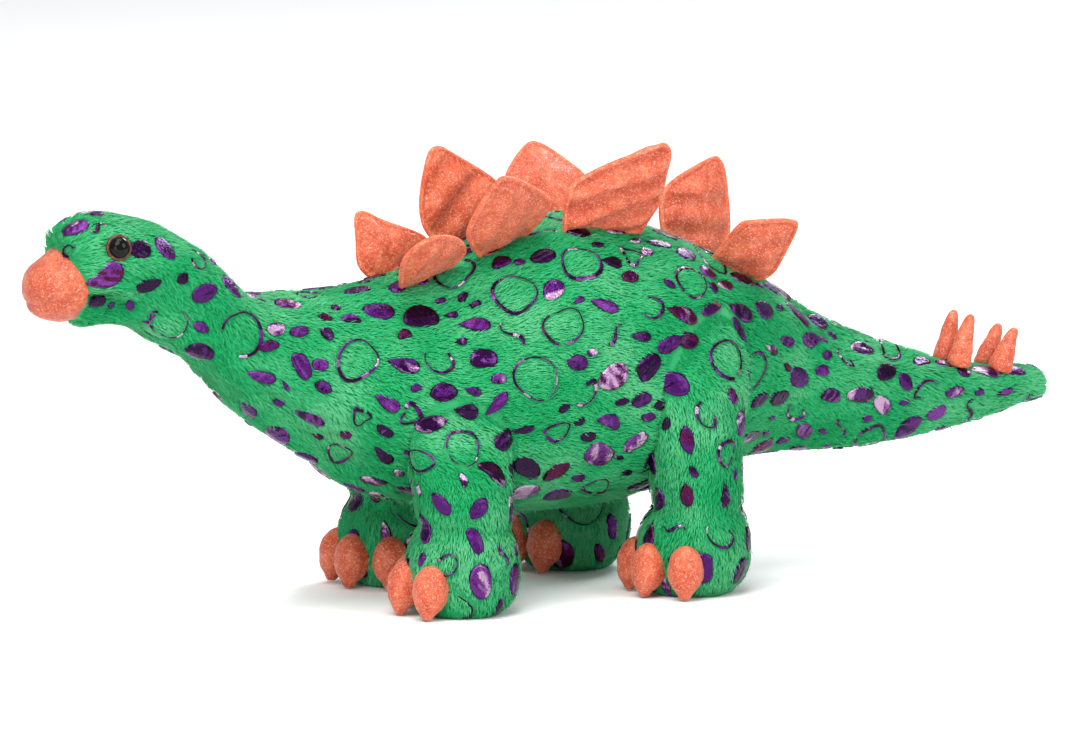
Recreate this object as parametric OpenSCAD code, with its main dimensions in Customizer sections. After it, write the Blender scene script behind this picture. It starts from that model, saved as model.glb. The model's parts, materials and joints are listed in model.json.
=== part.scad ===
// Stuffed dinosaur with two rows of back plates: plush covers over stuffing, sewn plates,
// toes and tail spikes, safety eyes, and soft bends at the neck, tail, legs and plates.
// Millimetres. +Z is up, the head points along -Y, the toy's left side is +X,
// and the origin is on the floor under the middle of the toy.

/* [Body] */
// Fullness of the body's sides against its height
body_fullness = 1; // [0.8:0.01:1.2]
// Thickness of the plush cloth with its pile
cover_t = 2.4; // [1.6:0.1:3.5]
// Space between two separate soft pieces
soft_gap = 0.3; // [0.2:0.05:0.6]

/* [Neck and tail] */
// How far the neck swings to each side, degrees
neck_swing = 12; // [4:1:16]
// How far the head nods up and down, degrees
head_nod = 12; // [4:1:16]
// How far the tail swings to each side, degrees
tail_swing = 14; // [4:1:18]
// How far the tail's end bends up and down, degrees
tail_lift = 12; // [4:1:16]

/* [Legs] */
// Distance of each leg's centre from the middle of the toy
leg_x = 37; // [33:0.5:42]
// Radius of the foot
foot_r = 21.5; // [19:0.5:23]
// Radius of the leg above the foot
shank_r = 18.6; // [16:0.2:20]
// How far each leg swings forward and back, degrees
leg_swing = 12; // [4:1:14]
// Turn of the front feet towards each other, degrees
front_toe_in = 14; // [0:1:25]
// Turn of the hind feet away from each other, degrees
hind_toe_out = 10; // [0:1:25]

/* [Toes and spikes] */
// Width of one toe pod
toe_w = 12.8; // [10:0.2:14]
// Height of one toe pod
toe_h = 20; // [16:0.5:22]
// Angle between neighbouring toes round the foot, degrees
toe_step = 42; // [36:1:46]
// Height of one tail spike
spike_h = 20; // [14:0.5:24]
// Width of one tail spike at its base
spike_w = 9.6; // [8:0.2:13]

/* [Plates] */
// Size of all back plates against the pattern
plate_scale = 1; // [0.8:0.01:1.15]
// Thickness of a plate at its middle
plate_t = 6.4; // [4:0.2:9]

/* [Eyes] */
// Width of the coloured eye disc
eye_w = 10; // [8:0.5:12]
// Width of the black dome on it
pupil_w = 7.6; // [6:0.2:9]
// Radius of the eye's stem
stem_r = 2; // [1.5:0.1:2.5]

/* [Hidden] */

$fn = 48;
PLUSH = [0.12, 0.62, 0.32];
FILL = [0.95, 0.95, 0.93];
CORAL = [0.93, 0.43, 0.28];
AMBER = [0.32, 0.16, 0.05];
BLACK = [0.02, 0.02, 0.02];

far_away = 300;
ring_points = 24;

// Body sections from the neck's root to the tail's root: [y, top, bottom, half width]
TRUNK = [
    [-135, 127.5, 81.5, 18], [-120, 120.5, 69.5, 22], [-98, 118.5, 55, 28], [-80, 119, 43.5, 34],
    [-58, 122, 36.5, 40], [-30, 131.5, 31.5, 45], [0, 140, 30.5, 47.5], [25, 138, 32, 47.5],
    [44, 133, 36, 45], [62, 125.5, 39.5, 40], [78, 118, 43, 34], [96, 107.5, 44.5, 27],
    [112, 97.5, 44.5, 22]
];
// Neck, from inside the chest up to behind the head
NECK = [
    [-78, 119.5, 43.5, 33], [-98, 118.5, 55, 27.5], [-115, 119.5, 66.5, 23], [-129, 124, 76.5, 20],
    [-145, 137.5, 90.5, 18.6], [-160, 147.5, 102.5, 18.6], [-172, 152.5, 112.5, 18.6]
];
// Head, from inside the neck to the snout
HEAD = [
    [-140, 133.5, 87.5, 17], [-150, 141.5, 94.5, 18.2], [-162, 148.5, 103.5, 18.8],
    [-175, 153.5, 112.5, 19.6], [-185, 156.1, 114.8, 19.4], [-194, 154.9, 114.3, 18],
    [-202, 150.2, 114.4, 16.6], [-209, 145, 115.2, 14.4], [-214, 140.6, 116.8, 11.4],
    [-217.2, 135, 120, 6.5], [-218, 130, 125, 1.2]
];
// Front half of the tail
TAIL_BASE = [
    [70, 122.5, 41.5, 36], [89, 113, 44.9, 28.5], [106, 101.5, 44.3, 23.5], [123, 91.5, 43.5, 20],
    [140, 84, 43.3, 17.4], [156, 79, 44.3, 15.4]
];
// End of the tail
TAIL_TIP = [
    [130, 88.5, 43.3, 18.6], [146, 81.5, 43.7, 16.6], [162, 77.5, 44.9, 14.6], [179, 73.5, 47.1, 12.6],
    [196, 70.7, 50.2, 10.8], [207, 69, 52.2, 9.8], [213.5, 67.6, 53, 8.4], [217, 65.6, 54.6, 5.8],
    [218, 62.4, 57.8, 1.6]
];

// Centres of the soft bends, and the radius of the ball that hides in each
NECK_AT = [0, -100, 87.5];
NECK_BALL = 19;
HEAD_AT = [0, -157, 123.5];
HEAD_BALL = 12.5;
head_slope = 37;
TAIL_AT = [0, 88, 77.5];
TAIL_BALL = 16.5;
TIP_AT = [0, 150, 62];
TIP_BALL = 10.5;

// Shoulders and haunches: [y of the leg, height of the hip, radius of the soft disc there]
SHOULDER_LEFT = [-54, 65, 21.5];
SHOULDER_RIGHT = [-41, 65, 21.5];
HAUNCH_LEFT = [45, 88.5, 24.5];
HAUNCH_RIGHT = [35, 88.5, 24.5];
hip_in_x = leg_x - 17;
hip_out_x = leg_x + 17;

// One plate a row: [y of its root, distance from the middle, outward lean, outline]. The outline
// runs from the front of the root over the tip to the back: [along the back, away from the back]
LEFT_PLATES = [
    [-57.5, 12, 46, [[-9, 0], [-12, 11], [-12, 22], [-6, 30], [1, 30], [12, 21.5], [17.5, 9], [10.5, 0]]],
    [-24, 14, 42, [[-10, 0], [-17.5, 13], [-17.5, 24], [-9, 41.5], [-4, 42.5], [8, 32], [19, 17], [17, 7],
        [9, 0]]],
    [17, 18, 27, [[-17, 0], [-20, 12], [-17, 23.5], [11, 39.5], [16, 38.5], [19.5, 25], [20.5, 12],
        [17, 0]]],
    [75, 16, 42, [[-10, 0], [-12, 10], [-13.5, 20], [-11, 24], [1.5, 33], [6, 30.5], [12.5, 14], [14, 5],
        [10, 0]]]
];
RIGHT_PLATES = [
    [-54.5, 12, 16, [[-10, 0], [-14.5, 7], [-11, 17], [-7, 25.5], [-3, 25.5], [2, 20], [16, 6.5], [10, 0]]],
    [-21.5, 14, 3, [[-9, 0], [-17, 5], [-19, 13], [-16, 24], [-9, 36], [-4.5, 37.5], [0, 34], [16.5, 15],
        [13, 5], [9, 0]]],
    [18, 18, 48, [[-11, 0], [-18, 6], [-17, 19], [-3, 34.5], [4, 35.5], [12, 28], [18.5, 18], [14, 5],
        [9, 0]]],
    [71, 15, 10, [[-9, 0], [-16, 9], [-16, 21.5], [-1.5, 38], [3, 40], [8, 34.5], [16.5, 15], [14, 5],
        [9, 0]]]
];
plate_root = 2.6;
// Padding over a plate: [share of the outline, share of half the thickness], face to edge to face
PLATE_PAD = [
    [0.3, -0.97], [0.66, -0.84], [0.9, -0.52], [1, -0.2],
    [1, 0.2], [0.9, 0.52], [0.66, 0.84], [0.3, 0.97]
];

// Spikes: [y, distance from the middle, outward lean, backward lean, share of the full height]
SPIKES = [[178, 5.6, 2, 11, 1], [196, 5.4, 2, 19, 0.86]];
spike_sink = 3;
// Profile of a spike from its root: [share of half the width, share of the height]
SPIKE_SHAPE = [[0, 0], [0.8, 0], [1, 0.125], [0.86, 0.4], [0.6, 0.7], [0.42, 0.9], [0.22, 0.98], [0, 1]];

// Profile of a toe pod from the floor up, in the same shares
TOE_SHAPE = [
    [0, 0], [0.36, 0.06], [0.78, 0.24], [1, 0.48], [0.97, 0.64], [0.78, 0.83], [0.42, 0.96], [0, 1]
];
toe_out = 1.2;
toe_lift = 0.4;
toe_tilt = 6;

// Foot and shank from the sole up: how far inside the foot's radius, at which height
FOOT_SHAPE = [[4, 0], [1.6, 3.6], [0, 9], [0, 18], [1, 24]];
ankle_z = 33;
shank_z = 40;
ankle_tuck = 0.4;
// Outer profile of a hip disc: [share of the radius, share of the depth]
HIP_SHAPE = [[1, 0.45], [0.89, 0.66], [0.72, 0.88]];

// Where each eye sits: half the distance between them, y, height, and its turns
EYE_AT = [17.2, -188, 144.5];
eye_forward = 12;
eye_up = 10;
disc_t = 1.6;
stem_len = 8.6;
seat_depth = 0.9;
washer_t = 1.2;
washer_r = 5.6;
washer_back = 0.6;
washer_room = 1.4;
// Small clearances that keep the eye's parts from touching
seat_air = 0.1;
dome_air = 0.02;
washer_air = 0.03;
stem_air = 0.2;
eye_reach = 10;
dome_share = 0.56;

// Seam of the snout patch, seen from the side: the mouth's corner, and where each half runs to
SEAM_CORNER = [-199, 128];
SEAM_TOP = [-206, 145];
SEAM_LOW = [-201, 60];

// ---- Soft shapes ----

// Smooth curve through rows of numbers, at t of the way from the second to the third
function through(a, b, c, d, t) =
    0.5 * (2 * b + (c - a) * t + (2 * a - 5 * b + 4 * c - d) * t * t
        + (3 * b - a - 3 * c + d) * t * t * t);

function row_at(rows, i) = rows[max(0, min(len(rows) - 1, i))];

function smooth_rows(rows, steps) = concat(
    [for (i = [0 : len(rows) - 2]) for (s = [0 : steps - 1])
        through(row_at(rows, i - 1), rows[i], rows[i + 1], row_at(rows, i + 2), s / steps)],
    [rows[len(rows) - 1]]
);

// Row of the smooth list that belongs to one y
function body_row(rows, y) =
    let (last = [for (i = [0 : len(rows) - 2]) if (rows[i][0] <= y) i],
        i = len(last) ? last[len(last) - 1] : 0,
        t = (y - rows[i][0]) / (rows[i + 1][0] - rows[i][0]))
    rows[i] + (rows[i + 1] - rows[i]) * t;

// Height of the body's upper surface at one place
function back_z(rows, x, y) =
    let (r = body_row(rows, y), w = r[3] * body_fullness)
    (r[1] + r[2]) / 2 + (r[1] - r[2]) / 2 * sqrt(1 - pow(x / w, 2));

// Stuffed tube through oval sections, drawn smaller all round by inset
module tube(rows, steps, inset) {
    list = smooth_rows(rows, steps);
    n = len(list);
    mid = (list[0][0] + list[n - 1][0]) / 2;
    half = abs(list[0][0] - list[n - 1][0]) / 2;
    points = [for (r = list) for (k = [0 : ring_points - 1])
        let (a = 360 * k / ring_points,
            w = max(r[3] * body_fullness - inset, 0.3),
            h = max((r[1] - r[2]) / 2 - inset, 0.3))
        [w * cos(a), mid + (r[0] - mid) * (half - inset) / half, (r[1] + r[2]) / 2 + h * sin(a)]];
    sides = [for (j = [0 : n - 2]) for (k = [0 : ring_points - 1])
        let (a = j * ring_points + k, b = j * ring_points + (k + 1) % ring_points)
        each [[a, b, b + ring_points], [a, b + ring_points, a + ring_points]]];
    caps = [[for (k = [ring_points - 1 : -1 : 0]) k],
        [for (k = [0 : ring_points - 1]) (n - 1) * ring_points + k]];
    turn = list[0][0] > list[n - 1][0];
    faces = concat(sides, caps);
    polyhedron(points = points,
        faces = turn ? [for (f = faces) [for (k = [len(f) - 1 : -1 : 0]) f[k]]] : faces);
}

module ball(at, r) {
    translate(at) sphere(r = r);
}

// Everything on one side of a plane square to Y at the given y
module behind(y) {
    translate([-far_away, y, -far_away]) cube([2 * far_away, far_away, 3 * far_away]);
}

module ahead(y) {
    translate([-far_away, y - far_away, -far_away]) cube([2 * far_away, far_away, 3 * far_away]);
}

// Wedge round a bend's axis, open away from the bend's other side by the given angle
module wedge_plan(angle, back) {
    reach = far_away;
    polygon([[0, -back], [reach * cos(angle), -back - reach * sin(angle)],
        [reach * cos(angle), -back - reach], [-reach * cos(angle), -back - reach],
        [-reach * cos(angle), -back - reach * sin(angle)]]);
}

module swing_wedge(at, angle, back) {
    translate([at[0], at[1], -far_away]) linear_extrude(3 * far_away) wedge_plan(angle, back);
}

module nod_wedge(at, slope, angle, back) {
    translate(at) rotate([-slope, 0, 0]) rotate([0, 90, 0])
        translate([0, 0, -far_away]) linear_extrude(2 * far_away) wedge_plan(angle, back);
}

// ---- Trunk ----

// Outline of a leg's opening in the side: the hip disc and the swept shank below it
module hip_room_plan(hip, room) {
    a = leg_swing + 1;
    w = shank_r + room;
    x_top = w * cos(a);
    z_top = w * sin(a);
    x_low = x_top + hip[1] * sin(a);
    z_low = z_top - hip[1] * cos(a);
    circle(r = hip[2] + room);
    polygon([[x_top, z_top], [x_low, z_low], [-x_low, z_low], [-x_top, z_top]]);
}

module hip_room(side, hip, room) {
    reach = 2 * leg_x;
    inner = leg_x - shank_r - room;
    translate([side > 0 ? inner : -inner - reach, hip[0], hip[1]])
        rotate([90, 0, 90]) linear_extrude(reach) hip_room_plan(hip, room);
}

module trunk_body(inset) {
    difference() {
        intersection() {
            tube(TRUNK, 3, inset);
            behind(NECK_AT[1] + inset);
            ahead(TAIL_AT[1] - inset);
        }
        ball(NECK_AT, NECK_BALL + soft_gap + inset);
        ball(TAIL_AT, TAIL_BALL + soft_gap + inset);
        hip_room(1, SHOULDER_LEFT, soft_gap + inset);
        hip_room(1, HAUNCH_LEFT, soft_gap + inset);
        hip_room(-1, SHOULDER_RIGHT, soft_gap + inset);
        hip_room(-1, HAUNCH_RIGHT, soft_gap + inset);
    }
}

module torso_cover() {
    color(PLUSH) difference() {
        trunk_body(0);
        trunk_body(cover_t);
    }
}

module torso_stuffing() {
    color(FILL) trunk_body(cover_t + soft_gap);
}

// ---- Neck ----

module neck_body(inset) {
    difference() {
        union() {
            intersection() {
                tube(NECK, 3, inset);
                swing_wedge(NECK_AT, neck_swing + 1, inset);
                translate(HEAD_AT) rotate([-head_slope, 0, 0])
                    translate([-far_away, inset, -far_away]) cube(2 * far_away);
            }
            ball(NECK_AT, NECK_BALL - inset);
        }
        ball(HEAD_AT, HEAD_BALL + soft_gap + inset);
    }
}

module neck_cover() {
    color(PLUSH) difference() {
        neck_body(0);
        neck_body(cover_t);
    }
}

module neck_stuffing() {
    color(FILL) neck_body(cover_t + soft_gap);
}

// ---- Head ----

// Space in front of the seam that runs from the snout's top back to the mouth's corner and under
module snout_room(gap) {
    back = [gap, 0];
    translate([-far_away, 0, 0]) rotate([90, 0, 90]) linear_extrude(2 * far_away)
        polygon([SEAM_CORNER + back, SEAM_TOP + back, [-far_away, far_away],
            [-far_away, SEAM_LOW[1]], SEAM_LOW + back]);
}

module head_body(inset) {
    intersection() {
        tube(HEAD, 2, inset);
        nod_wedge(HEAD_AT, head_slope, head_nod + 1, inset);
    }
    ball(HEAD_AT, HEAD_BALL - inset);
}

// Moves a thing made at the origin, facing +Z, to one eye
module at_eye(side) {
    translate([side * EYE_AT[0], EYE_AT[1], EYE_AT[2]])
        rotate([0, 0, -side * eye_forward]) rotate([0, side * (90 - eye_up), 0])
            children();
}

module head_skin() {
    difference() {
        head_body(0);
        head_body(cover_t);
    }
}

module head_cover() {
    color(PLUSH) difference() {
        head_skin();
        snout_room(soft_gap);
        for (side = [-1, 1]) at_eye(side) {
            translate([0, 0, -seat_depth]) cylinder(r = eye_w / 2 + soft_gap, h = eye_reach);
            translate([0, 0, -eye_reach]) cylinder(r = stem_r + stem_air, h = eye_reach);
        }
    }
}

module snout_patch() {
    color(CORAL) intersection() {
        head_skin();
        snout_room(0);
    }
}

module head_stuffing() {
    color(FILL) difference() {
        head_body(cover_t + soft_gap);
        for (side = [-1, 1]) at_eye(side)
            translate([0, 0, -stem_len - washer_room])
                cylinder(r = washer_r + soft_gap, h = stem_len + eye_reach);
    }
}

// ---- Eyes ----

module eye_disc(side) {
    at_eye(side) {
        translate([0, 0, seat_air - seat_depth]) cylinder(r = eye_w / 2, h = disc_t);
        translate([0, 0, -stem_len]) cylinder(r = stem_r, h = stem_len);
    }
}

module eye_dome(side) {
    dome_r = pupil_w * dome_share;
    face_z = seat_air - seat_depth + disc_t;
    sink = sqrt(pow(dome_r, 2) - pow(pupil_w / 2, 2));
    at_eye(side) translate([0, 0, face_z + dome_air]) intersection() {
        translate([0, 0, -sink]) sphere(r = dome_r);
        cylinder(r = pupil_w, h = pupil_w);
    }
}

module eye_washer(side) {
    at_eye(side) translate([0, 0, washer_back - stem_len]) difference() {
        cylinder(r = washer_r, h = washer_t);
        translate([0, 0, -washer_t]) cylinder(r = stem_r + washer_air, h = 3 * washer_t);
    }
}

// ---- Tail ----

module tail_base_body(inset) {
    difference() {
        union() {
            intersection() {
                tube(TAIL_BASE, 2, inset);
                mirror([0, 1, 0]) swing_wedge([0, -TAIL_AT[1], 0], tail_swing + 1, inset);
                ahead(TIP_AT[1] - inset);
            }
            ball(TAIL_AT, TAIL_BALL - inset);
        }
        ball(TIP_AT, TIP_BALL + soft_gap + inset);
    }
}

module tail_base_cover() {
    color(PLUSH) difference() {
        tail_base_body(0);
        tail_base_body(cover_t);
    }
}

module tail_base_stuffing() {
    color(FILL) tail_base_body(cover_t + soft_gap);
}

module tail_tip_body(inset) {
    intersection() {
        tube(TAIL_TIP, 2, inset);
        mirror([0, 1, 0]) nod_wedge([0, -TIP_AT[1], TIP_AT[2]], 0, tail_lift + 1, inset);
    }
    ball(TIP_AT, TIP_BALL - inset);
}

module tail_tip_cover() {
    color(PLUSH) difference() {
        tail_tip_body(0);
        tail_tip_body(cover_t);
    }
}

module tail_tip_stuffing() {
    color(FILL) tail_tip_body(cover_t + soft_gap);
}

module spike(side, i) {
    s = SPIKES[i];
    root = [side * s[1], s[0], back_z(TAIL_TIP, s[1], s[0])];
    difference() {
        translate(root) rotate([-s[3], side * s[2], 0]) translate([0, 0, -spike_sink])
            rotate_extrude() polygon([for (p = SPIKE_SHAPE) [p[0] * spike_w / 2, p[1] * spike_h * s[4]]]);
        tube(TAIL_TIP, 2, -soft_gap);
    }
}

// ---- Legs ----

// Foot and shank, turned round the leg's upright axis
module foot_and_shank(top, inset) {
    high = top - inset;
    points = concat(
        [[0, inset]],
        [for (p = FOOT_SHAPE) [foot_r - p[0] - inset, max(p[1], inset)]],
        [[shank_r - ankle_tuck - inset, ankle_z], [shank_r - inset, shank_z],
            [shank_r - inset, high - foot_r / 2], [foot_r / 2 - inset, high], [0, high]]);
    rotate_extrude() polygon(points);
}

// Soft disc of the shoulder or haunch, turned round the hip's axis
module hip_disc(r, inset) {
    depth = hip_out_x - hip_in_x;
    rotate([0, 90, 0]) rotate_extrude() polygon(concat(
        [[0, inset], [r - inset, inset]],
        [for (p = HIP_SHAPE) [r * p[0] - inset, depth * p[1]]],
        [[r / 2 - inset, depth - inset], [0, depth - inset]]));
}

module leg_body(side, hip, inset) {
    mirror([side < 0 ? 1 : 0, 0, 0]) {
        translate([leg_x, hip[0], 0]) foot_and_shank(hip[1], inset);
        translate([hip_in_x, hip[0], hip[1]]) hip_disc(hip[2], inset);
    }
}

module leg_skin(side, hip) {
    difference() {
        leg_body(side, hip, 0);
        leg_body(side, hip, cover_t);
    }
}

// Toe pod: round on top, drawn to a soft point at the floor
module toe(side, stand_y, turn, i) {
    angle = side * turn + (i - 1) * toe_step * side;
    translate([side * leg_x, stand_y, 0]) difference() {
        rotate(angle) translate([0, -foot_r - toe_out, toe_lift]) rotate([-toe_tilt, 0, 0])
            rotate_extrude() polygon([for (p = TOE_SHAPE) [p[0] * toe_w / 2, p[1] * toe_h]]);
        translate([0, 0, -toe_h]) cylinder(r = foot_r + soft_gap, h = 3 * toe_h);
    }
}

// ---- Plates ----

// Padded leaf with a thin seam round its edge
module plate_pad(outline) {
    ring = smooth_rows(outline, 2);
    n = len(ring);
    heart = [for (k = [0, 1]) (min([for (p = ring) p[k]]) + max([for (p = ring) p[k]])) / 2];
    points = concat([for (s = PLATE_PAD) for (p = ring)
        let (q = heart + (p - heart) * s[0]) [s[1] * plate_t / 2, q[0], max(q[1], 0)]],
        [[-plate_t / 2, heart[0], heart[1]], [plate_t / 2, heart[0], heart[1]]]);
    m = len(PLATE_PAD);
    faces = concat(
        [for (j = [0 : m - 2]) for (k = [0 : n - 1])
            let (a = j * n + k, b = j * n + (k + 1) % n)
            each [[a, b, b + n], [a, b + n, a + n]]],
        [for (k = [0 : n - 1]) [m * n, (k + 1) % n, k]],
        [for (k = [0 : n - 1]) [m * n + 1, (m - 1) * n + k, (m - 1) * n + (k + 1) % n]]);
    polyhedron(points = points, faces = [for (f = faces) [f[2], f[1], f[0]]]);
}

module plate(side, p) {
    step = 4;
    rise = back_z(TRUNK, p[1], p[0] + step) - back_z(TRUNK, p[1], p[0] - step);
    root = [side * p[1], p[0], back_z(TRUNK, p[1], p[0]) + plate_root];
    translate(root) rotate([atan(rise / (2 * step)), 0, 0])
        rotate([0, side * p[2], 0]) plate_pad(p[3] * plate_scale);
}

// ---- Paired pieces, one a node ----

module eye_disc_left() {
    color(AMBER) eye_disc(1);
}

module eye_disc_right() {
    color(AMBER) eye_disc(-1);
}

module eye_dome_left() {
    color(BLACK) eye_dome(1);
}

module eye_dome_right() {
    color(BLACK) eye_dome(-1);
}

module eye_washer_left() {
    color(FILL) eye_washer(1);
}

module eye_washer_right() {
    color(FILL) eye_washer(-1);
}

module leg_front_left_cover() {
    color(PLUSH) leg_skin(1, SHOULDER_LEFT);
}

module leg_front_right_cover() {
    color(PLUSH) leg_skin(-1, SHOULDER_RIGHT);
}

module leg_hind_left_cover() {
    color(PLUSH) leg_skin(1, HAUNCH_LEFT);
}

module leg_hind_right_cover() {
    color(PLUSH) leg_skin(-1, HAUNCH_RIGHT);
}

module leg_front_left_stuffing() {
    color(FILL) leg_body(1, SHOULDER_LEFT, cover_t + soft_gap);
}

module leg_front_right_stuffing() {
    color(FILL) leg_body(-1, SHOULDER_RIGHT, cover_t + soft_gap);
}

module leg_hind_left_stuffing() {
    color(FILL) leg_body(1, HAUNCH_LEFT, cover_t + soft_gap);
}

module leg_hind_right_stuffing() {
    color(FILL) leg_body(-1, HAUNCH_RIGHT, cover_t + soft_gap);
}

module toe_front_left_1() {
    color(CORAL) toe(1, SHOULDER_LEFT[0], -front_toe_in, 0);
}

module toe_front_left_2() {
    color(CORAL) toe(1, SHOULDER_LEFT[0], -front_toe_in, 1);
}

module toe_front_left_3() {
    color(CORAL) toe(1, SHOULDER_LEFT[0], -front_toe_in, 2);
}

module toe_front_right_1() {
    color(CORAL) toe(-1, SHOULDER_RIGHT[0], -front_toe_in, 0);
}

module toe_front_right_2() {
    color(CORAL) toe(-1, SHOULDER_RIGHT[0], -front_toe_in, 1);
}

module toe_front_right_3() {
    color(CORAL) toe(-1, SHOULDER_RIGHT[0], -front_toe_in, 2);
}

module toe_hind_left_1() {
    color(CORAL) toe(1, HAUNCH_LEFT[0], hind_toe_out, 0);
}

module toe_hind_left_2() {
    color(CORAL) toe(1, HAUNCH_LEFT[0], hind_toe_out, 1);
}

module toe_hind_left_3() {
    color(CORAL) toe(1, HAUNCH_LEFT[0], hind_toe_out, 2);
}

module toe_hind_right_1() {
    color(CORAL) toe(-1, HAUNCH_RIGHT[0], hind_toe_out, 0);
}

module toe_hind_right_2() {
    color(CORAL) toe(-1, HAUNCH_RIGHT[0], hind_toe_out, 1);
}

module toe_hind_right_3() {
    color(CORAL) toe(-1, HAUNCH_RIGHT[0], hind_toe_out, 2);
}

module plate_left_1() {
    color(CORAL) plate(1, LEFT_PLATES[0]);
}

module plate_left_2() {
    color(CORAL) plate(1, LEFT_PLATES[1]);
}

module plate_left_3() {
    color(CORAL) plate(1, LEFT_PLATES[2]);
}

module plate_left_4() {
    color(CORAL) plate(1, LEFT_PLATES[3]);
}

module plate_right_1() {
    color(CORAL) plate(-1, RIGHT_PLATES[0]);
}

module plate_right_2() {
    color(CORAL) plate(-1, RIGHT_PLATES[1]);
}

module plate_right_3() {
    color(CORAL) plate(-1, RIGHT_PLATES[2]);
}

module plate_right_4() {
    color(CORAL) plate(-1, RIGHT_PLATES[3]);
}

module spike_left_1() {
    color(CORAL) spike(1, 0);
}

module spike_left_2() {
    color(CORAL) spike(1, 1);
}

module spike_right_1() {
    color(CORAL) spike(-1, 0);
}

module spike_right_2() {
    color(CORAL) spike(-1, 1);
}

torso_cover();
torso_stuffing();
neck_cover();
neck_stuffing();
head_cover();
head_stuffing();
snout_patch();
tail_base_cover();
tail_base_stuffing();
tail_tip_cover();
tail_tip_stuffing();
eye_disc_left();
eye_disc_right();
eye_dome_left();
eye_dome_right();
eye_washer_left();
eye_washer_right();
leg_front_left_cover();
leg_front_right_cover();
leg_hind_left_cover();
leg_hind_right_cover();
leg_front_left_stuffing();
leg_front_right_stuffing();
leg_hind_left_stuffing();
leg_hind_right_stuffing();
toe_front_left_1();
toe_front_left_2();
toe_front_left_3();
toe_front_right_1();
toe_front_right_2();
toe_front_right_3();
toe_hind_left_1();
toe_hind_left_2();
toe_hind_left_3();
toe_hind_right_1();
toe_hind_right_2();
toe_hind_right_3();
plate_left_1();
plate_left_2();
plate_left_3();
plate_left_4();
plate_right_1();
plate_right_2();
plate_right_3();
plate_right_4();
spike_left_1();
spike_left_2();
spike_right_1();
spike_right_2();
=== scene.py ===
import json
import math

import bmesh
import bpy
import numpy as np
from mathutils import Matrix, Vector, noise
from mathutils.bvhtree import BVHTree
from mathutils.kdtree import KDTree


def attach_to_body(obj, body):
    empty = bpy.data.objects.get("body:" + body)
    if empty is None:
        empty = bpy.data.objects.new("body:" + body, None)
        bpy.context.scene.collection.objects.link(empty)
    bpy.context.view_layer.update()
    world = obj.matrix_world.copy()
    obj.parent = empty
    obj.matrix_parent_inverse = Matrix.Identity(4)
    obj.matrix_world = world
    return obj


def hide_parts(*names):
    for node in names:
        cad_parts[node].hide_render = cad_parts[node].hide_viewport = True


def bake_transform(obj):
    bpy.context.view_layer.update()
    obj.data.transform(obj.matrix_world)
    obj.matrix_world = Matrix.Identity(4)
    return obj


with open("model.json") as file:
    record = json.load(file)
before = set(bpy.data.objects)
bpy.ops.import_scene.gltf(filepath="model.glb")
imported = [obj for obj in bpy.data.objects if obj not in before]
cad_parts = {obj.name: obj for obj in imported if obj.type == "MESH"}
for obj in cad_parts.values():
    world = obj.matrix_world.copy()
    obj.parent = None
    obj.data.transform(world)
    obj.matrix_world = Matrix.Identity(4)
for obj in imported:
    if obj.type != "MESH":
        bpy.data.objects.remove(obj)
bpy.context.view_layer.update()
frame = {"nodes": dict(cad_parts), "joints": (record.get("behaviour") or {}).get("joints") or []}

MM = 0.001
SEED = 41
PILE = 1.5          # mm the pile stands above the cloth
FLOOR_GAP = 0.15    # mm the lowest pile and foil stay above the floor
STUFFING_IN = 7.0   # mm from the cloth's outside to the stuffing
CLOTH_FRAMES = 20   # length of each cloth run
DENSITY = 2.3    # tufts to a square mm
SIGHT, RISE = 60.5, 9.0     # degrees round from the front, and up, that the toy is seen from
scene = bpy.context.scene
joints = {j["name"]: j for j in frame["joints"]}

# ---------------------------------------------------------------- camera and studio


def direction(azimuth, elevation):
    """Unit vector towards a place so many degrees round from the front and up."""
    a, e = math.radians(azimuth), math.radians(elevation)
    return Vector((math.sin(a) * math.cos(e), -math.cos(a) * math.cos(e), math.sin(e)))


def make_camera():
    """Long lens 10 m away, as near to parallel as the photo shows."""
    away, picture_width = 10.0, 0.4015
    back = direction(SIGHT, RISE)
    right = Vector((math.cos(math.radians(SIGHT)), math.sin(math.radians(SIGHT)), 0))
    up = back.cross(right)
    data = bpy.data.cameras.new("camera")
    data.sensor_width = 36
    data.lens = data.sensor_width * away / picture_width
    data.clip_end = 4 * away
    cam = bpy.data.objects.new("camera", data)
    scene.collection.objects.link(cam)
    middle = right * -0.00075 + up * 0.0794
    cam.location = middle + back * away
    cam.rotation_euler = (-back).to_track_quat("-Z", "Y").to_euler()
    scene.camera = cam


def area_light(name, azimuth, elevation, away, size, power, colour=(1, 1, 1)):
    """Round soft light that looks at the toy's middle."""
    data = bpy.data.lights.new(name, "AREA")
    data.shape = "DISK"
    data.size = size
    data.energy = power
    data.color = colour
    ob = bpy.data.objects.new(name, data)
    scene.collection.objects.link(ob)
    ob.location = Vector((0, 0, 0.08)) + direction(azimuth, elevation) * away
    ob.rotation_euler = (-direction(azimuth, elevation)).to_track_quat("-Z", "Y").to_euler()


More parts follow.
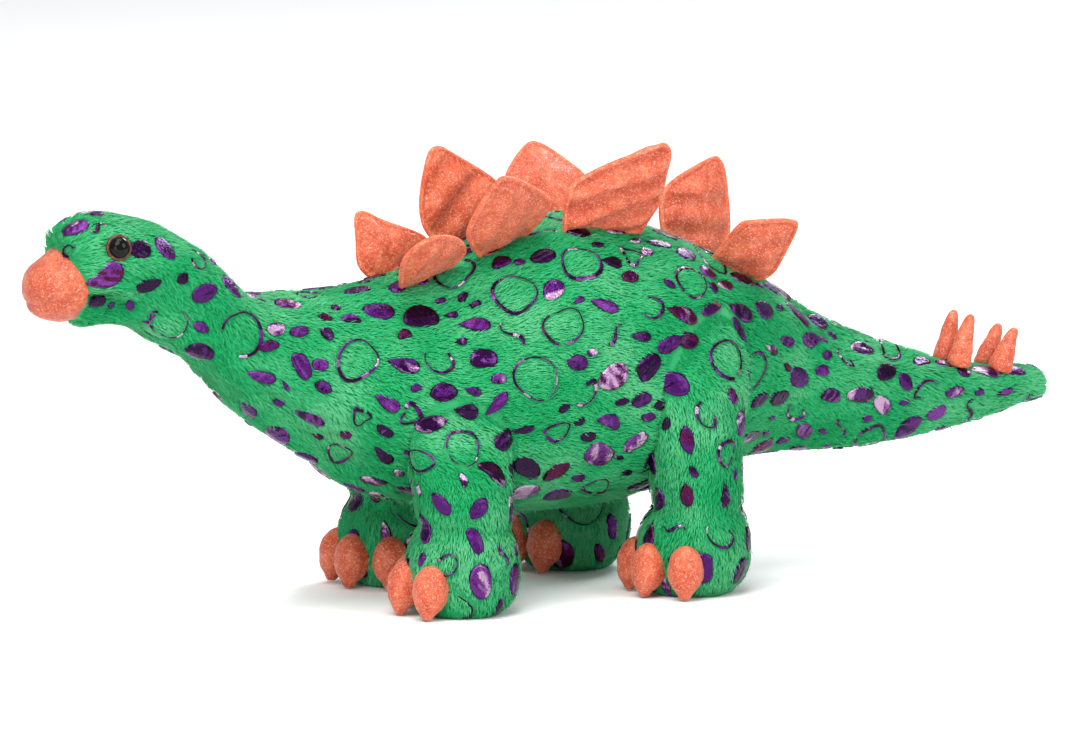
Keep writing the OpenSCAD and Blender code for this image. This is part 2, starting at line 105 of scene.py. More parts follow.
def make_studio():
    """White paper floor under an even sky, with five soft lights."""
    world = bpy.data.worlds.new("studio")
    world.use_nodes = True
    sky = world.node_tree.nodes["Background"]
    sky.inputs["Color"].default_value = (0.96, 0.97, 1.0, 1)
    sky.inputs["Strength"].default_value = 0.5
    scene.world = world
    area_light("key", 42, 50, 1.5, 1.2, 22, (1.0, 0.985, 0.96))
    area_light("low", 32, 6, 1.5, 0.8, 6, (1.0, 0.98, 0.95))
    area_light("fill", 110, 25, 1.6, 0.9, 11, (0.95, 0.98, 1.0))
    area_light("top", 0, 88, 1.5, 1.0, 12)
    area_light("rim", 215, 35, 1.6, 0.5, 12)
    s = 6.0
    floor = bpy.data.meshes.new("floor")
    floor.from_pydata([(-s, -s, 0), (s, -s, 0), (s, s, 0), (-s, s, 0)], [], [(0, 1, 2, 3)])
    floor.materials.append(new_material("floor_paper", (0.93, 0.93, 0.93), 0.9)[0])
    ob = bpy.data.objects.new("floor", floor)
    scene.collection.objects.link(ob)


# ---------------------------------------------------------------- materials

def new_material(name, colour=(0.5, 0.5, 0.5), rough=0.6, metal=0.0, **more):
    """Principled material; more holds other sockets' values, by name."""
    mat = bpy.data.materials.new(name)
    mat.use_nodes = True
    shader = mat.node_tree.nodes["Principled BSDF"]
    shader.inputs["Base Color"].default_value = (*colour, 1)
    shader.inputs["Roughness"].default_value = rough
    shader.inputs["Metallic"].default_value = metal
    for key, value in more.items():
        shader.inputs[key.replace("_", " ")].default_value = value
    return mat, mat.node_tree, shader


def node(tree, kind, **values):
    """New node with its sockets' values, or its own settings, by name."""
    n = tree.nodes.new("ShaderNode" + kind)
    for key, value in values.items():
        if key in n.inputs.keys():
            n.inputs[key].default_value = value
        else:
            setattr(n, key, value)
    return n


def ramp(tree, source, stops):
    """Colour that follows source along (place, colour) stops."""
    n = tree.nodes.new("ShaderNodeValToRGB")
    while len(n.color_ramp.elements) < len(stops):
        n.color_ramp.elements.new(0.5)
    for e, (at, colour) in zip(n.color_ramp.elements, stops):
        e.position = at
        e.color = (*colour, 1)
    tree.links.new(source, n.inputs["Fac"])
    return n.outputs["Color"]


def bump(tree, shader, source, strength, distance, before=None):
    """Relief that follows source, over the relief of before."""
    n = node(tree, "Bump", Strength=strength, Distance=distance)
    tree.links.new(source, n.inputs["Height"])
    if before is not None:
        tree.links.new(before, n.inputs["Normal"])
    tree.links.new(n.outputs["Normal"], shader.inputs["Normal"])
    return n.outputs["Normal"]


def roughness(tree, shader, source, low, high):
    """Roughness that follows source from low to high."""
    n = node(tree, "MapRange")
    n.inputs["To Min"].default_value = low
    n.inputs["To Max"].default_value = high
    tree.links.new(source, n.inputs["Value"])
    tree.links.new(n.outputs["Result"], shader.inputs["Roughness"])


def object_coords(tree, scale=(1, 1, 1)):
    """The object's own coordinates, stretched along each axis."""
    tc = node(tree, "TexCoord")
    m = node(tree, "Mapping")
    m.inputs["Scale"].default_value = scale
    tree.links.new(tc.outputs["Object"], m.inputs["Vector"])
    return m.outputs["Vector"]


def texture(tree, where, kind, **values):
    """Procedural texture laid out over where."""
    n = node(tree, kind, **values)
    tree.links.new(where, n.inputs["Vector"])
    return n.outputs


def cloth_green():
    """The knitted backing under the pile, with patches of deeper dye."""
    mat, tree, shader = new_material("plush_backing", rough=0.95, Sheen_Weight=0.2)
    where = object_coords(tree, (1, 0.4, 1))
    patches = texture(tree, where, "TexNoise", Scale=90.0, Detail=4.0, Roughness=0.6)
    colour = ramp(tree, patches["Fac"], [
        (0.25, (0.002, 0.215, 0.062)), (0.5, (0.006, 0.265, 0.08)), (0.75, (0.014, 0.315, 0.105))])
    tree.links.new(colour, shader.inputs["Base Color"])
    fine = texture(tree, where, "TexNoise", Scale=1100.0, Detail=3.0)
    bump(tree, shader, fine["Fac"], 0.8, 0.0006)
    return mat


def pile_greens():
    """Shades of the pile, from deep to sunlit. Each is plain; the mix on the toy comes from the tufts."""
    shades = [(0.0005, 0.208, 0.057), (0.001, 0.242, 0.069), (0.005, 0.272, 0.083),
              (0.016, 0.3, 0.1), (0.036, 0.33, 0.122), (0.07, 0.375, 0.16)]
    out = []
    for i, shade in enumerate(shades):
        mat, tree, shader = new_material(f"pile_{i + 1}", shade, 0.8, Sheen_Weight=0.2 + 0.02 * i,
                                         Specular_IOR_Level=0.12, Sheen_Roughness=0.4,
                                         Sheen_Tint=(0.36, 1.0, 0.52, 1.0))
        uneven = texture(tree, object_coords(tree), "TexNoise", Scale=400.0)
        roughness(tree, shader, uneven["Fac"], 0.6, 0.85)
        out.append(mat)
    return out


def foils():
    """Printed foil film: metal with fine crackle, in the tints that it shows on the toy, painted
    reflection and painted highlights among them.
    """
    # the first four are partly the foil's own tints and partly painted reflection; the last two are painted
    # highlights
    tints = [(0.056, 0.007, 0.096), (0.017, 0.002, 0.027), (0.105, 0.018, 0.16), (0.06, 0.003, 0.036),
             (0.37, 0.225, 0.36), (0.17, 0.07, 0.19)]
    out = []
    for i, tint in enumerate(tints):
        mat, tree, shader = new_material(f"foil_{i + 1}", tint, 0.3, 1.0, Coat_Weight=0.15,
                                         Coat_Roughness=0.1)
        where = object_coords(tree)
        crackle = texture(tree, where, "TexVoronoi", Scale=700.0)
        cloudy = texture(tree, where, "TexNoise", Scale=330.0, Detail=4.0, Roughness=0.7)
        first = bump(tree, shader, crackle["Distance"], 0.35, 0.0004)
        bump(tree, shader, cloudy["Fac"], 0.7, 0.0009, first)
        roughness(tree, shader, cloudy["Fac"], 0.16, 0.42)
        out.append(mat)
    return out


def glitter_coral(name, light):
    """Coral knit with tiny glitter flakes at light times its usual colour: more for painted highlight, less
    for painted shade.
    """
    def stops(*pairs):
        return [(at, tuple(min(c * light, 1.0) for c in colour)) for at, colour in pairs]

    mat, tree, shader = new_material(name, rough=0.5, Sheen_Weight=0.14, Sheen_Roughness=0.4,
                                     Specular_IOR_Level=0.35)
    where = object_coords(tree)
    cloud = texture(tree, where, "TexNoise", Scale=170.0, Detail=6.0, Roughness=0.72)
    body = ramp(tree, cloud["Fac"], stops(
        (0.34, (0.37, 0.036, 0.008)), (0.5, (0.47, 0.072, 0.023)), (0.66, (0.57, 0.14, 0.064))))
    flakes = texture(tree, where, "TexVoronoi", Scale=2300.0)
    picked = node(tree, "SeparateColor")
    tree.links.new(flakes["Color"], picked.inputs["Color"])
    tint = ramp(tree, picked.outputs["Green"], stops(
        (0.1, (0.64, 0.14, 0.05)), (0.35, (0.40, 0.034, 0.036)), (0.6, (0.70, 0.25, 0.14)),
        (0.9, (0.82, 0.44, 0.34))))
    show = ramp(tree, picked.outputs["Red"], [(0.2, (0, 0, 0)), (0.95, (0.5, 0.5, 0.5))])
    mix = node(tree, "Mix", data_type="RGBA")
    tree.links.new(show, mix.inputs["Factor"])
    for socket in mix.inputs:
        if socket.type == "RGBA":
            tree.links.new({"A": body, "B": tint}[socket.name], socket)
    mixed = next(socket for socket in mix.outputs if socket.type == "RGBA")
    tree.links.new(mixed, shader.inputs["Base Color"])
    gloss = ramp(tree, picked.outputs["Red"], [(0.62, (0.62, 0.62, 0.62)), (0.8, (0.38, 0.38, 0.38))])
    tree.links.new(gloss, shader.inputs["Roughness"])
    weave = texture(tree, where, "TexNoise", Scale=1400.0, Detail=2.0)
    soft = texture(tree, where, "TexNoise", Scale=260.0, Detail=3.0)
    first = bump(tree, shader, weave["Fac"], 0.5, 0.0003)
    second = bump(tree, shader, flakes["Distance"], 0.22, 0.0002, first)
    bump(tree, shader, soft["Fac"], 0.35, 0.0008, second)
    return mat


def noisy(name, grain, stops, relief=None, **more):
    """Material whose colour follows a noise along the stops, with relief of (strength, distance)."""
    mat, tree, shader = new_material(name, **more)
    grain = texture(tree, object_coords(tree), "TexNoise", **grain)
    if stops:
        tree.links.new(ramp(tree, grain["Fac"], stops), shader.inputs["Base Color"])
    if relief:
        bump(tree, shader, grain["Fac"], *relief)
    return mat


def plastics():
    """The eyes' black and amber, and the washers' white."""
    black = noisy("eye_black", {"Scale": 900.0}, None, (0.02, 0.00005), colour=(0.003, 0.003, 0.003),
                  rough=0.05, Specular_IOR_Level=0.15)
    amber = noisy("eye_amber", {"Scale": 600.0, "Detail": 4.0}, [
        (0.3, (0.03, 0.009, 0.003)), (0.55, (0.08, 0.026, 0.007)), (0.8, (0.17, 0.062, 0.016))],
        rough=0.3, Specular_IOR_Level=0.35)
    white = noisy("washer_white", {"Scale": 500.0}, [(0.3, (0.7, 0.7, 0.68)), (0.7, (0.82, 0.82, 0.8))],
                  rough=0.45)
    return black, amber, white


def fibre_white():
    """Loose white fibre of the stuffing."""
    return noisy("fibre_fill", {"Scale": 300.0, "Detail": 6.0, "Roughness": 0.7},
                 [(0.3, (0.72, 0.72, 0.7)), (0.7, (0.93, 0.93, 0.91))], (0.8, 0.001), rough=0.95)


# ---------------------------------------------------------------- mesh helpers

def circle(n):
    """Angles of n even steps round."""
    return np.linspace(0, 2 * np.pi, n, endpoint=False)


def length(v):
    """Length of each vector."""
    return np.linalg.norm(v, axis=-1)


def unit(v):
    """Each vector at length 1."""
    return v / np.maximum(np.linalg.norm(v, axis=-1, keepdims=True), 1e-9)


def along_surface(v, n):
    """Unit vectors of the part of v that runs along surfaces with normals n."""
    return unit(v - n * (v * n).sum(-1, keepdims=True))


def fast_mesh(name, verts, faces, mats, face_mats=None, normals=None):
    """Object from arrays: verts in mm, faces a list of (N, 3) or (N, 4) arrays."""
    me = bpy.data.meshes.new(name)
    verts = np.asarray(verts, float) * MM
    me.vertices.add(len(verts))
    me.vertices.foreach_set("co", verts.astype(np.float32).ravel())
    loops = np.concatenate([f.ravel() for f in faces]).astype(np.int32)
    total = np.concatenate([np.full(len(f), f.shape[1], np.int32) for f in faces])
    start = np.concatenate([[0], np.cumsum(total)[:-1]]).astype(np.int32)
    me.loops.add(len(loops))
    me.loops.foreach_set("vertex_index", loops)
    me.polygons.add(len(total))
    me.polygons.foreach_set("loop_start", start)
    me.polygons.foreach_set("loop_total", total)
    me.polygons.foreach_set("use_smooth", np.ones(len(total), bool))
    for m in mats:
        me.materials.append(m)
    if face_mats is not None:
        me.polygons.foreach_set("material_index", np.asarray(face_mats, np.int32))
    me.update(calc_edges=True)
    me.validate()
    if normals is not None:
        me.normals_split_custom_set_from_vertices(np.asarray(normals, float).tolist())
    ob = bpy.data.objects.new(name, me)
    scene.collection.objects.link(ob)
    return ob


def cloth_run(verts, faces, scale, pressure, growth, pins=()):
    """Points in mm after weightless cloth under pressure has settled, worked at scale times its size."""
    me = bpy.data.meshes.new("cloth_run")
    me.from_pydata((verts * MM * scale).tolist(), [], faces)
    me.update()
    ob = bpy.data.objects.new("cloth_run", me)
    scene.collection.objects.link(ob)
    mod = ob.modifiers.new("cloth", "CLOTH")
    cloth = mod.settings
    cloth.effector_weights.gravity = 0
    cloth.use_pressure = True
    cloth.uniform_pressure_force = pressure
    cloth.shrink_min = -growth
    cloth.air_damping = 2.0
    mod.collision_settings.use_collision = False
    if len(pins):
        ob.vertex_groups.new(name="pins").add([int(i) for i in pins], 1.0, "REPLACE")
        cloth.vertex_group_mass = "pins"
    mod.point_cache.frame_start, mod.point_cache.frame_end = 1, CLOTH_FRAMES
    for frame_number in range(1, CLOTH_FRAMES + 1):
        scene.frame_set(frame_number)
    done = ob.evaluated_get(bpy.context.evaluated_depsgraph_get())
    co = np.empty(len(verts) * 3, np.float32)
    done.data.vertices.foreach_get("co", co)
    bpy.data.objects.remove(ob)
    bpy.data.meshes.remove(me)
    scene.frame_set(1)
    return co.reshape(-1, 3) / MM / scale


def ring_faces(rings, around):
    """Faces between rings of around points each."""
    j, k = np.meshgrid(np.arange(rings - 1), np.arange(around), indexing="ij")
    a = j * around + k
    b = j * around + (k + 1) % around
    return np.stack([a, b, b + around, a + around], -1).reshape(-1, 4)


def cap_faces(rings, around):
    """Faces that close a tube onto its two end points, which follow its rings."""
    n, k = rings * around, np.arange(around)
    k2, top = (k + 1) % around, n - around
    return np.concatenate([np.stack([k2, k, np.full(around, n)], -1),
                           np.stack([top + k, top + k2, np.full(around, n + 1)], -1)])


def closed_points(grid):
    """Points of a closed tube: its rings, then the middle of each end."""
    return np.concatenate([grid.reshape(-1, 3), grid[:1].mean(1), grid[-1:].mean(1)])


def settled(grid, scale, pressure, growth, pins=()):
    """The rings' points after a cloth run on the closed tube."""
    faces = ring_faces(*grid.shape[:2]).tolist() + cap_faces(*grid.shape[:2]).tolist()
    return cloth_run(closed_points(grid), faces, scale, pressure, growth, pins)[:-2].reshape(grid.shape)


def folds(grid, step, scale, pressure, growth, cap):
    """How far out the cloth of a closed tube moves as the stuffing fills it, without its drift."""
    rings, around = grid.shape[:2]
    rows = np.unique(np.append(np.arange(0, rings, step[0]), rings - 1))
    cols = np.arange(0, around, step[1])
    coarse = grid[rows][:, cols]
    d = ((settled(coarse, scale, pressure, growth) - coarse) * outward(coarse)).sum(-1)
    drift = d.copy()
    for _ in range(14):
        wide = np.concatenate([drift[:1], drift, drift[-1:]])
        drift = (wide[:-2] + wide[2:] + np.roll(drift, 1, 1) + np.roll(drift, -1, 1) + 2 * drift) / 6
    d = cap * np.tanh((d - drift) / cap)
    d *= np.sin(np.linspace(0, np.pi, len(rows)))[:, None].clip(0, 0.25) * 4
    full = np.stack([np.interp(np.arange(rings), rows, d[:, c]) for c in range(len(cols))], 1)
    return np.stack([np.interp(np.arange(around), cols, row, period=around) for row in full])


def noise_at(points, scale, seed=0.0):
    """Smooth noise, about -1 to 1, with lumps about scale mm wide."""
    off = Vector((seed * 13.7, seed * 5.1, seed * 9.3))
    return np.array([noise.noise(Vector(p) / scale + off) for p in points])


def smoothstep(x, a, b):
    """0 before a, 1 after b, with an even run between."""
    t = np.clip((x - a) / (b - a), 0, 1)
    return t * t * (3 - 2 * t)


def spline(rows, per):
    """Catmull-Rom through rows, per steps between each pair."""
    r = np.asarray(rows, float)
    out = []
    for i in range(len(r) - 1):
        a, b, c, d = r[max(i - 1, 0)], r[i], r[i + 1], r[min(i + 2, len(r) - 1)]
        for s in range(per):
            t = s / per
            out.append(0.5 * (2 * b + (c - a) * t + (2 * a - 5 * b + 4 * c - d) * t * t
                              + (3 * b - a - 3 * c + d) * t ** 3))
    out.append(r[-1])
    return np.array(out)


def resample(rows, spacing, weights):
    """Rows at even steps of their weighted length."""
    d = np.sqrt((np.diff(rows, axis=0) ** 2 * np.asarray(weights)).sum(1))
    s = np.concatenate([[0], np.cumsum(d)])
    n = max(int(round(s[-1] / spacing)), 4)
    at = np.linspace(0, s[-1], n + 1)
    return np.stack([np.interp(at, s, rows[:, k]) for k in range(rows.shape[1])], 1)


# ---------------------------------------------------------------- the body's shape

# [y, top, bottom, half width] in mm, snout to tail
BODY = [
    (-218, 130, 125, 1.2), (-217.2, 135, 120, 6.5), (-214, 140.6, 116.8, 11.4),
    (-209, 145, 115.2, 14.4), (-202, 150.2, 114.4, 16.6), (-194, 154.9, 114.3, 18),
    (-185, 156.1, 114.8, 19.4), (-175, 153.5, 112.5, 19.6), (-162, 148.5, 103.5, 18.8),
    (-145, 137.5, 90.5, 18.6), (-129, 124, 76.5, 20), (-115, 119.5, 66.5, 23),
    (-98, 118.5, 55, 28), (-80, 119, 43.5, 34), (-58, 122, 36.5, 40), (-30, 131.5, 31.5, 45),
    (0, 140, 30.5, 47.5), (25, 138, 32, 47.5), (44, 133, 36, 45), (62, 125.5, 39.5, 40),
    (78, 118, 43, 34), (92, 110.5, 44.6, 28), (106, 101.5, 44.3, 23.5), (123, 91.5, 43.5, 20),
    (140, 84, 43.3, 17.4), (156, 79, 44.3, 15.4), (170, 75.6, 45.9, 13.7), (183, 72.8, 47.9, 12.1),
    (196, 70.7, 50.2, 10.8), (207, 69, 52.2, 9.8), (213.5, 67.6, 53, 8.4),
    (217, 65.6, 54.6, 5.8), (218, 62.4, 57.8, 1.6)]
AROUND = 128
body_rows = resample(spline(BODY, 24), 1.6, (1, 0.3, 0.3, 0.4))


def body_at(y):
    """[top, bottom, half width] of the envelope at y."""
    return np.stack([np.interp(y, body_rows[:, 0], body_rows[:, k]) for k in (1, 2, 3)], -1)


def body_shape(inset):
    """Rings of the body's smooth envelope, inset mm inside it."""
    r = body_rows
    mid, half = (r[0, 0] + r[-1, 0]) / 2, (r[-1, 0] - r[0, 0]) / 2
    y = mid + (r[:, 0] - mid) * (half - inset) / half
    hw = np.maximum(r[:, 3] - inset, 0.3)
    hh = np.maximum((r[:, 1] - r[:, 2]) / 2 - inset, 0.3)
    cz = (r[:, 1] + r[:, 2]) / 2
    a = circle(AROUND)
    c, s = np.cos(a), np.sin(a)
    full = 1 + 0.03 * hump(r[:, 0], 5, 60)[:, None] * np.abs(np.sin(2 * a))[None] ** 2
    x = hw[:, None] * c[None] * full
    z = cz[:, None] + hh[:, None] * s[None] * full
    return np.stack([x, np.repeat(y[:, None], AROUND, 1), z], -1)


def outward(p):
    """Ring normals of a (rings, around, 3) grid."""
    du = np.gradient(p, axis=0)
    dv = np.roll(p, -1, axis=1) - np.roll(p, 1, axis=1)
    n = unit(np.cross(dv, du))
    centre = p.mean(axis=1, keepdims=True)
    flip = np.sign(((p - centre) * n).sum(-1, keepdims=True).sum(axis=1, keepdims=True))
    return n * np.where(flip == 0, 1, flip)


def hump(v, at, width):
    """1 where v is at, falling to nothing over about width on each side."""
    return np.exp(-((v - at) / width) ** 2)


def bell(p, at, width):
    """1 at a place, falling to nothing round it."""
    return np.exp(-((p - np.asarray(at)) ** 2).sum(-1) / width ** 2)


def mouth_height(y):
    """Height of the mouth line along the cheek."""
    return 127.6 - 0.12 * (y + 199)


def sculpt(p, n):
    """Moves the smooth tube to the stuffed one: lumps, cheeks, brow, mouth and folds."""
    flat = p.reshape(-1, 3)
    d = 0.7 * noise_at(flat, 30, 1) + 0.3 * noise_at(flat, 13, 2)
    d += folds(p, (4, 4), 1.0, 4.0, 0.03, 1.5).ravel()
    fade = smoothstep(flat[:, 1], -216, -196) * (1 - smoothstep(flat[:, 1], 200, 217))
    d = d * (0.25 + 0.75 * fade)
    x, y, z = flat[:, 0], flat[:, 1], flat[:, 2]
    side = np.abs(x)
    # mouth: the lip stands over a jaw that is set back, from the snout's corner along the cheek
    along = smoothstep(y, -200.5, -197) * (1 - smoothstep(y, -186, -176)) * smoothstep(side, 5, 9)
    under = mouth_height(y) - z
    d += 2.2 * along * hump(under, -2.4, 2.6)
    d -= 3.2 * along * hump(under, 0.7, 1.3)
    d -= 2.0 * along * smoothstep(under, 0, 1.6) * (1 - smoothstep(under, 6, 14))
    snout = snout_depth(flat)
    d -= 0.9 * smoothstep(snout, -0.5, 2) * smoothstep(124 - z, -6, 8)
    d -= 1.7 * hump(snout, 0.6, 2.4) * smoothstep(124 - z, 0, 6)
    # the forehead stands over the top of the snout patch, and the mouth runs on across the patch
    d -= 1.7 * smoothstep(z, 132, 142) * smoothstep(snout, -1.8, -0.3) * hump(np.maximum(snout, 0), 0, 9)
    d -= 1.7 * smoothstep(z, 131, 143) * smoothstep(snout, -2, 9)
    d -= 0.8 * smoothstep(snout, 0.5, 3) * hump(z - 128, 0.28 * (y + 199), 1.5)
    mirrored = flat.copy()
    mirrored[:, 0] = side
    d += 2.0 * bell(mirrored, (4, -203, 149), 7.5) * smoothstep(-snout, 0.6, 2.0)
    d += 1.2 * bell(mirrored, (9, -195, 153), 7)
    d += 0.9 * bell(mirrored, (15, -181, 133), 8) - 0.9 * bell(mirrored, (17, -188, 144.5), 7.5)
    # soft folds where the neck meets the chest
    d -= 0.8 * hump(y + 104 + (z - 85) * 0.25, 0, 3.0) * smoothstep(-z, -95, -60)
    return p + n * d.reshape(p.shape[:2])[..., None]


LEGS = {  # name: side, y, hip height, turn of the toes
    "front_left": (1, -54, 65, -14), "front_right": (-1, -41, 65, -14),
    "hind_left": (1, 45, 88.5, 10), "hind_right": (-1, 35, 88.5, 10)}
LEG_X, LEG_AROUND = 37, 64


def leg_rows(hip):
    """[z, centre x, half width across, half width along] up one leg's envelope."""
    rows = [(0.0, 37, 11, 11), (0.4, 37, 14.6, 14.6), (1.7, 37, 17.4, 17.4), (4.2, 37, 19.6, 19.6),
            (8, 37, 21.1, 21.1), (14, 37, 21.9, 21.9), (20, 37, 21.6, 21.6), (25.5, 37, 20.4, 20.4),
            (30.5, 37, 18.8, 18.8), (34, 37, 18.2, 18.3), (39, 37, 18.7, 18.8)]
    if hip > 75:
        rows += [(52, 37, 18.2, 19.2), (66, 37, 17.2, 21.2), (80, 36.2, 15.8, 23.4), (91, 34.4, 14.4, 23.8),
                 (100, 31.8, 13.0, 21.6), (107, 29, 11.0, 17.4), (111.5, 27, 7.6, 12.0),
                 (113.2, 26, 3.6, 6), (113.6, 26, 0.5, 0.8)]
    else:
        rows += [(48, 36.8, 18.0, 19.6), (58, 36, 16.4, 21.0), (68, 34, 14.8, 21.2), (76, 31.5, 13.2, 19.2),
                 (83, 29, 10.4, 15), (87.4, 27.4, 6.6, 9.4), (89.2, 26.6, 3.0, 4.4), (89.6, 26.6, 0.5, 0.8)]
    return resample(spline(rows, 16), 1.6, (1, 0.2, 0.6, 0.6))


def leg_shape(name, inset):
    """Rings of a leg's smooth envelope, inset mm inside it."""
    side, at_y, hip, _turn = LEGS[name]
    r = leg_rows(hip)
    a = circle(LEG_AROUND)
    lo, hi = r[0, 0], r[-1, 0]
    z = lo + inset * 0.25 + (r[:, 0] - lo) * ((hi - inset) - (lo + inset * 0.25)) / (hi - lo)
    hx = np.maximum(r[:, 2] - inset, 0.25)
    hy = np.maximum(r[:, 3] - inset, 0.25)
    x = side * (r[:, 1][:, None] + hx[:, None] * np.cos(a)[None])
    y = at_y + hy[:, None] * np.sin(a)[None]
    return np.stack([x, y, np.repeat(z[:, None], LEG_AROUND, 1)], -1)


def leg_sculpt(name, p, n):
    """Moves the smooth leg to the stuffed one: lumps, folds, ankle and instep."""
    flat = p.reshape(-1, 3)
    back = n.reshape(-1, 3)[:, 1]
    seed = 3 + list(LEGS).index(name)
    d = 0.75 * noise_at(flat, 22, seed) + 0.35 * noise_at(flat, 9, seed + 5)
    z = flat[:, 2]
    d *= smoothstep(z, 0.5, 8)
    d += folds(p, (3, 2), 1.0, 4.0, 0.03, 1.3).ravel() * smoothstep(z, 1, 9)
    wave = 1.6 * np.sin(np.arctan2(flat[:, 1] - LEGS[name][1], flat[:, 0]) * 2 + seed)
    d -= 0.8 * hump(z - 33, wave, 2.8)
    front = np.clip(-back, 0, 1)
    d -= (2.0 if name.startswith("hind") else 0.8) * front * hump(z, 37, 7)
    d += 1.1 * np.clip(back + 0.2, 0, 1) * hump(z, 34, 8)
    d += 0.8 * front * hump(z, 19, 8)
    d -= 2.4 * np.clip(back, 0, 1) * hump(z, 0, 6.5)
    return p + n * d.reshape(p.shape[:2])[..., None]


def join_to_body(name, p):
    """Lets the top of a leg sink evenly to the body's own surface, so that no rim shows there."""
    side, top = LEGS[name][0], p[..., 2].max()
    fade = smoothstep(p[..., 2], top - 44, top - 5)
    for i in zip(*np.nonzero((fade > 0) & (side * p[..., 0] > 8))):
        hit = body.bvh.ray_cast(Vector((side * 90, p[i][1], p[i][2])), Vector((-side, 0, 0)))[0]
        if hit is not None:
            rest = abs(hit.x) + 0.1
            past = side * p[i][0] - rest
            if past > 0:
                p[i][0] = side * (rest + past * (1 - fade[i]))
    return p


def surface_tree(grid):
    """Rings as a surface that rays and nearest places are found on."""
    return BVHTree.FromPolygons(grid.reshape(-1, 3).tolist(), ring_faces(*grid.shape[:2]).tolist())


def point_tree(points):
    """Points sorted so that the nearest are found fast."""
    tree = KDTree(len(points))
    for i, v in enumerate(points.tolist()):
        tree.insert(v, i)
    tree.balance()
    return tree


class Skin:
    """A closed surface of rings, with what the pile and the foil need to lie on it.

    The pile runs along the rings' order, or against it where flow_down is true.
    """

    def __init__(self, grid, flow_down):
        self.rings, self.around = grid.shape[:2]
        self.p = grid.reshape(-1, 3)
        self.n = outward(grid).reshape(-1, 3)
        flow = np.gradient(grid, axis=0).reshape(-1, 3)
        self.flow = along_surface(-flow if flow_down else flow, self.n)
        self.quads = ring_faces(self.rings, self.around)
        self.tris = np.concatenate([self.quads[:, [0, 1, 2]], self.quads[:, [0, 2, 3]]])
        a, b, c = (self.p[self.tris[:, k]] for k in range(3))
        self.area = length(np.cross(b - a, c - a)) / 2
        self.bvh = surface_tree(grid)
        self.kd = point_tree(self.p)

    def sample(self, count, rng):
        """Points spread over the skin by chance, with the normal and the pile's run at each."""
        pick = rng.choice(len(self.tris), count, p=self.area / self.area.sum())
        u, v = rng.random(count), rng.random(count)
        over = u + v > 1
        u[over], v[over] = 1 - u[over], 1 - v[over]
        w = np.stack([1 - u - v, u, v], -1)
        t = self.tris[pick]
        p, n, f = ((values[t] * w[..., None]).sum(1) for values in (self.p, self.n, self.flow))
        n = unit(n)
        return p, n, along_surface(f, n)

    def lay(self, points, height):
        """Points moved to height above the nearest place on the skin, with the normal there."""
        out = np.empty_like(points)
        normals = np.empty_like(points)
        for i, q in enumerate(points.tolist()):
            out[i] = self.bvh.find_nearest(q)[0]
            normals[i] = self.n[self.kd.find(out[i])[1]]
        out += normals * np.asarray(height)[:, None]
        return out, normals


def build_body_skin():
    """Skin from the snout to the tail's end, as the stuffed cloth lies."""
    grid = body_shape(PILE)
    grid = sculpt(grid, outward(grid))
    return Skin(grid, False)


def build_leg_skin(name):
    """Skin of one leg, its top sunk to the body's surface; outline keeps the shape before that."""
    grid = leg_shape(name, PILE)
    grid = leg_sculpt(name, grid, outward(grid))
    outline = surface_tree(grid)
    grid = join_to_body(name, grid)
    skin = Skin(grid, True)
    skin.outline = outline
    # the pile runs back over the hip as on the body, and turns down the leg below it
    turn = smoothstep(skin.p[:, 2], LEGS[name][2] - 26, LEGS[name][2] + 4)[:, None]
    skin.flow = along_surface(skin.flow * (1 - turn) + np.array([0, 1, -0.25]) * turn, skin.n)
    return skin


def inside_body(p, depth):
    """True where p is at least depth under the body's envelope."""
    top, bottom, hw = body_at(p[:, 1]).T
    hh = np.maximum((top - bottom) / 2 - depth, 0.1)
    hw = np.maximum(hw - depth, 0.1)
    return ((p[:, 0] / hw) ** 2 + ((p[:, 2] - (top + bottom) / 2) / hh) ** 2 < 1) & (np.abs(p[:, 1]) < 216)


def inside_legs(p, depth):
    """True where p is at least depth under a leg's envelope."""
    hit = np.zeros(len(p), bool)
    for side, at_y, hip, _turn in LEGS.values():
        r = leg_rows(hip)
        z = p[:, 2]
        hx = np.maximum(np.interp(z, r[:, 0], r[:, 2]) - depth, 0.1)
        hy = np.maximum(np.interp(z, r[:, 0], r[:, 3]) - depth, 0.1)
        cx = np.interp(z, r[:, 0], r[:, 1])
        hit |= (((side * p[:, 0] - cx) / hx) ** 2 + ((p[:, 1] - at_y) / hy) ** 2 < 1) \
            & (z < r[-1, 0] - depth) & (z > 0)
    return hit


# where the body is cut into pieces, one for each bend: y from, y to, bodies, blend start and end
HEAD_AT = Vector((0, -157, 123.5))
HEAD_WAY = Vector((0, -math.cos(math.radians(37)), math.sin(math.radians(37))))
REGIONS = {
    "head": (-400, -134, ("neck", "head"), HEAD_AT - HEAD_WAY * 10, HEAD_AT + HEAD_WAY * 13),
    "neck": (-134, -82, ("torso", "neck"), Vector((0, -84, 87)), Vector((0, -119, 87))),
    "torso": (-82, 68, ("torso",), None, None),
    "tail": (68, 128, ("torso", "tail_base"), Vector((0, 71, 77)), Vector((0, 107, 77))),
    "tip": (128, 400, ("tail_base", "tail_tip"), Vector((0, 134, 62)), Vector((0, 166, 62)))}


def region_of(y):
    """Names of the regions that hold each y."""
    out = np.full(len(y), "torso", dtype=object)
    for name, (lo, hi, *_rest) in REGIONS.items():
        out[(y >= lo) & (y < hi)] = name
    return out


def attach(ob, region):
    """Rides a finished piece on its part of the body; a piece between two bodies only has its place baked
    into its points.
    """
    if region in LEGS:
        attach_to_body(ob, "leg_" + region)
        return
    bodies, start, end = REGIONS[region][2:]
    if len(bodies) == 1:
        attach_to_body(ob, bodies[0])
    else:
        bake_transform(ob)


# ---------------------------------------------------------------- snout seam

SEAM_CORNER = Vector((0, -199, 128))
SEAM_TOP = Vector((0, -206, 145))
SEAM_LOW = Vector((0, -201, 60))


